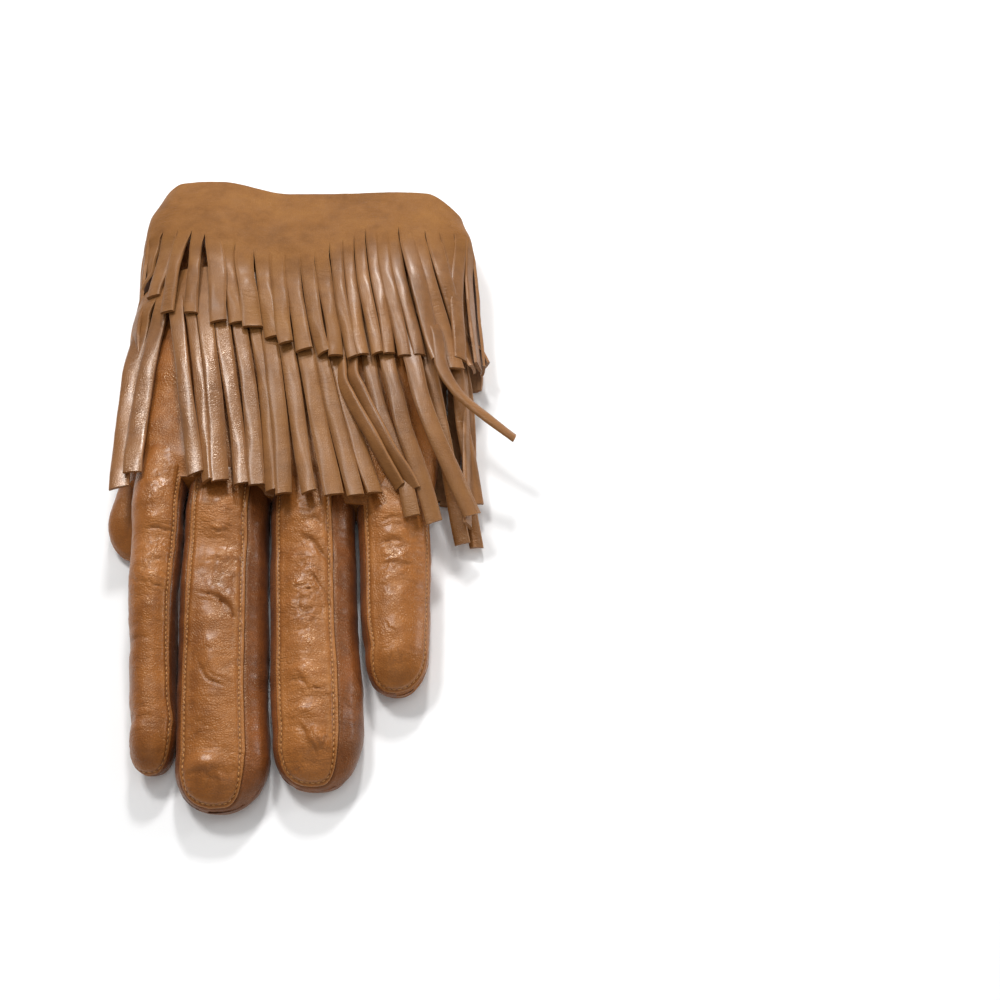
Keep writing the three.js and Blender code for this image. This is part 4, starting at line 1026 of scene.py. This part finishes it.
# Charted strands. r: its root's x. x, y: where its end lies, or path: points that it goes through. w: width. twist, roll: degrees.
# lift: how far it stands off. cup: how far its edges curl. sway: how far it bows sideways. g: above 1, it bends more towards its end.
UP = [
    dict(r=-45.4, x=-49.2, y=64.0, w=4.6, lift=0.3, twist=6, cup=0.4),
    dict(r=-40.6, x=-44.0, y=58.0, w=4.8, lift=0.2, twist=-6, cup=0.3),
    dict(r=-35.8, x=-37.4, y=49.8, w=4.3, lift=1.5, twist=9, cup=0.5, g=1.0, sway=-1.2),
    dict(r=-31.8, x=-29.7, y=48.6, w=3.8, lift=0.6, twist=-8, cup=0.5, sway=-0.6),
    dict(r=-27.8, x=-21.2, y=45.4, w=5.0, lift=1.2, twist=8, cup=0.4, g=0.95, sway=0.8),
    dict(r=-23.0, x=-16.0, y=46.0, w=4.4, lift=0.3, twist=12, cup=0.5),
    dict(r=-17.6, x=-11.2, y=45.2, w=5.4, lift=1.4, twist=-5, cup=0.4),
    dict(r=-12.2, x=-6.2, y=41.4, w=4.6, lift=0.8, twist=14, cup=0.6, sway=0.4),
    dict(r=-8.0, x=-1.2, y=38.8, w=4.4, lift=1.1, twist=-9, cup=0.5),
    dict(r=-3.6, x=4.2, y=36.4, w=4.8, lift=0.5, twist=7, cup=0.5, sway=-0.3),
    dict(r=1.2, x=9.4, y=35.2, w=4.2, lift=1.2, twist=18, cup=0.6),
    dict(r=5.6, x=13.6, y=34.4, w=4.3, lift=0.7, twist=-14, cup=0.55, sway=0.5),
    dict(r=9.8, x=17.8, y=34.4, w=3.7, lift=1.3, twist=12, cup=0.6),
    dict(r=13.4, x=21.4, y=35.0, w=3.6, lift=0.5, twist=-16, cup=0.6, sway=-0.3),
    dict(r=16.8, x=24.8, y=35.8, w=3.6, lift=1.2, twist=15, cup=0.6),
    dict(r=20.2, x=28.6, y=36.4, w=3.7, lift=0.6, twist=-10, cup=0.55, sway=0.5),
    dict(r=23.6, x=32.8, y=35.4, w=4.0, lift=1.0, twist=14, cup=0.6),
    dict(r=26.8, x=37.6, y=36.4, w=3.9, lift=0.4, twist=-12, cup=0.6),
    dict(r=30.4, x=43.0, y=35.6, w=4.9, lift=2.4, twist=-14, cup=0.6, g=1.15, z=20.5),
    dict(r=34.4, x=48.0, y=34.2, w=4.6, lift=1.9, twist=12, cup=0.55, z=17.5),
    dict(r=38.6, x=53.4, y=37.2, w=4.6, lift=1.8, twist=-12, cup=0.55, z=13.5),
    dict(r=43.0, x=55.8, y=43.5, w=4.2, lift=0.3, twist=-18, cup=0.5, z=6.8),
]
LOW = [
    dict(r=-44.2, w=5.2, twist=2, roll=3, cup=0.5, path=[(-46.2, 51.5, 18.2), (-46.4, 37.2, 17.3), (-45.4, 21.0, 16.3), (-44.0, 5.7, 14.9), (-42.4, -7.3, 13.4)]),
    dict(r=-40.2, w=5.1, twist=-4, roll=9, cup=0.5, path=[(-40.8, 46.5, 19.2), (-41.0, 30.6, 18.4), (-40.8, 16.8, 17.6), (-39.8, 4.6, 17.0), (-38.9, -3.7, 16.4)]),
    dict(r=-36.2, x=-21.8, y=-4.6, w=4.2, lift=1.1, twist=14, cup=0.6, g=1.15, sway=0.8),
    dict(r=-31.8, x=-18.2, y=-6.8, w=3.2, lift=0.4, twist=46, cup=0.4, g=1.1, sway=0.9),
    dict(r=-27.6, x=-14.4, y=-6.2, w=4.5, lift=1.3, twist=-7, cup=0.6, g=1.1, sway=0.7),
    dict(r=-22.6, x=-9.2, y=-6.6, w=4.2, lift=0.7, twist=8, cup=0.6, g=1.1, sway=0.6),
    dict(r=-18.2, x=-4.9, y=-6.8, w=4.3, lift=1.0, twist=-6, cup=0.5, g=1.05, sway=0.8),
    dict(r=-14.0, x=-1.2, y=-8.8, w=3.3, lift=0.4, twist=24, cup=0.5, g=1.0, sway=0.8),
    dict(r=-10.0, x=2.4, y=-9.8, w=4.5, lift=1.1, twist=-14, cup=0.6, g=1.0, sway=0.7),
    dict(r=-5.2, x=9.0, y=-9.4, w=4.3, lift=0.9, twist=9, cup=0.6, g=1.1, sway=0.3),
    dict(r=-0.4, x=15.5, y=-10.2, w=5.0, lift=1.2, twist=-6, cup=0.5, g=1.1, sway=0.5),
    dict(r=4.2, x=21.2, y=-10.2, w=4.4, lift=1.3, twist=6, cup=0.5, g=1.2, sway=0.4),
    dict(r=8.6, x=27.0, y=-9.0, w=4.2, lift=0.2, twist=-14, cup=0.5, g=1.3),
    dict(r=12.6, w=3.6, twist=8, roll=34, cup=0.5, path=[(14.5, 28.4, 20.4), (17.6, 20.7, 20.9), (23.7, 9.1, 20.8), (28.5, 0.3, 19.4), (32.7, -6.5, 16.9)]),
    dict(r=16.4, w=3.7, twist=10, roll=30, cup=0.5, path=[(17.3, 31.3, 20.4), (20.6, 22.7, 21.0), (25.8, 11.6, 21.0), (30.7, 2.3, 20.0), (34.3, -3.0, 18.6), (36.6, -7.0, 17.0)]),
    dict(r=20.2, w=4.1, twist=10, cup=0.6, path=[(22.6, 33.4, 19.6), (27.2, 15.4, 18.6), (31.0, 5.9, 17.8), (33.8, -3.3, 16.6), (36.5, -14.8, 14.4)]),
    dict(r=24.0, w=4.5, twist=-12, cup=0.65, path=[(27.8, 33.9, 20.2), (30.7, 22.5, 20.2), (33.1, 12.7, 19.6), (37.1, 1.3, 18.0), (40.0, -7.1, 16.2), (42.6, -15.7, 14.2)]),
    dict(r=27.8, w=4.9, twist=-10, cup=0.6, path=[(35.1, 33.9, 21.0), (37.4, 23.0, 21.2), (41.9, 10.0, 19.8), (46.6, 0.0, 16.8), (50.5, -7.8, 13.6), (52.7, -12.0, 11.8)]),
    dict(r=31.6, w=4.2, twist=16, cup=0.5, path=[(39.6, 34.0, 17.4), (43.2, 16.0, 13.0), (46.2, 0.0, 8.6), (48.6, -12.5, 5.6), (49.6, -17.0, 4.6)]),
    dict(r=35.6, w=3.6, twist=-20, roll=-14, cup=0.5, path=[(41.8, 44.5, 20.4), (43.0, 34.0, 20.8), (47.6, 24.4, 20.0), (56.4, 16.2, 18.4), (64.4, 10.6, 16.4)]),
    dict(r=39.6, w=3.9, twist=-14, cup=0.5, path=[(47.2, 36.8, 15.0), (48.8, 21.0, 11.0), (51.2, 8.7, 8.0), (53.6, -4.7, 5.6)]),
    dict(r=43.4, w=4.0, twist=12, cup=0.5, path=[(49.4, 34.0, 10.0), (50.6, 16.0, 7.0), (51.0, -2.0, 4.2), (53.4, -17.0, 2.6)]),
]


upper = Tier(UPPER, lambda y: 0.0 * np.asarray(y, float))
lower = Tier(LOWER, lambda y: LAYER * clip01((np.asarray(y, float) - STEP_UPPER[0]) / (STEP_UPPER[1] - STEP_UPPER[0])), LOWER_OUT)
cut_up = lambda x: float(np.interp(x, [-52, -34, -14, 6, 16, 54], [84, 80, 73.5, 74.5, 84, 88]))
cut_low = lambda x: 57.0
up_soup = tier_mesh("upper", upper, UP, 78.0, cut_up, lambda x, z: float(np.interp(x, [-50, -20, 10, 55], [50, 42, 38, 40])), 4.4, 5, (12, 88.5), (9.0, 5.0))
low_soup = tier_mesh("lower", lower, LOW, 57.0, cut_low, lambda x, z: float(np.interp(x, [-50, -38, 20, 52], [4, -1, -6, -15])) + (11.0 if z < 5 else 0.0), 4.4, 9, (5, 60.0), (3.5, 3.0))

# ---------------------------------------------------------------- pieces
pieces = {}
pieces["trank"] = trank.make("glove_trank", [BODY, INSIDE], weld=2e-3, sharp=55)
for n, s in forks.items():
    pieces[n] = s.make("glove_" + n, [SHADED_SIDES], weld=2e-3, sharp=60)
pieces["thumb"] = thumb.make("glove_thumb", [BODY], weld=2e-3, sharp=60)
pieces["upper_fringe"] = up_soup.make("glove_upper_fringe", [FRINGE, INSIDE], weld=2e-3, sharp=50)
pieces["lower_fringe"] = low_soup.make("glove_lower_fringe", [FRINGE, INSIDE], weld=2e-3, sharp=50)
seam = stitch_mesh("glove_seam_stitches", rng)

for n, ob in pieces.items():
    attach(ob, "root")
    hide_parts(n)
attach(seam, "root")

# ---------------------------------------------------------------- floor, light and camera
me = bpy.data.meshes.new("floor")
me.from_pydata([(-6, -6, 0), (6, -6, 0), (6, 6, 0), (-6, 6, 0)], [], [(0, 1, 2, 3)])
floor = bpy.data.objects.new("floor", me)
bpy.context.scene.collection.objects.link(floor)
floor.location.z = -0.00005
fm = Nodes("pale_floor")
fm.bsdf.inputs["Base Color"].default_value = (0.9, 0.9, 0.9, 1)
fm.bsdf.inputs["Roughness"].default_value = 0.9
fm.bsdf.inputs["Specular IOR Level"].default_value = 0.2
me.materials.append(fm.mat)

world = bpy.data.worlds.new("studio")
bpy.context.scene.world = world
world.use_nodes = True
world.node_tree.nodes["Background"].inputs[0].default_value = (1, 1, 1, 1)
world.node_tree.nodes["Background"].inputs[1].default_value = 0.34


def lamp(name, at, size, power, target=(0, 0, 0), colour=(1, 1, 1), shape=None):
    d = bpy.data.lights.new(name, "AREA")
    d.shape = "RECTANGLE"
    d.size, d.size_y = size
    d.energy = power
    d.color = colour
    ob = bpy.data.objects.new(name, d)
    bpy.context.scene.collection.objects.link(ob)
    ob.location = at
    v = np.array(target, float) - np.array(at, float)
    from mathutils import Vector
    ob.rotation_euler = Vector(v).to_track_quat("-Z", "Y").to_euler()
    return ob


lamp("key", (-0.28, 0.42, 0.76), (0.18, 0.15), 3.9)
lamp("back", (0.05, 0.75, 0.64), (0.11, 0.1), 5.2)
lamp("fill", (0.1, -0.8, 0.9), (0.7, 0.7), 1.2)
lamp("side", (0.75, 0.22, 0.30), (0.16, 0.16), 1.6)
lamp("over", (0.25, 0.1, 1.1), (0.6, 0.5), 1.6)

# the camera: 0.31 m from the point of the floor at the photograph's middle, 58 degrees above it
TARGET = (np.array([60.0, 0, 0]) + SHIFT) * MM
E = math.radians(58)
cam = bpy.data.cameras.new("camera")
cam.lens = 39.0
cam.sensor_width = 36.0
cam.clip_start = 0.01
cam.dof.use_dof = False
camera = bpy.data.objects.new("camera", cam)
bpy.context.scene.collection.objects.link(camera)
camera.location = (TARGET[0], TARGET[1] - 0.310 * math.cos(E), TARGET[2] + 0.310 * math.sin(E))
camera.rotation_euler = (math.pi / 2 - E, 0, 0)
bpy.context.scene.camera = camera
bpy.context.scene.view_settings.view_transform = "Standard"
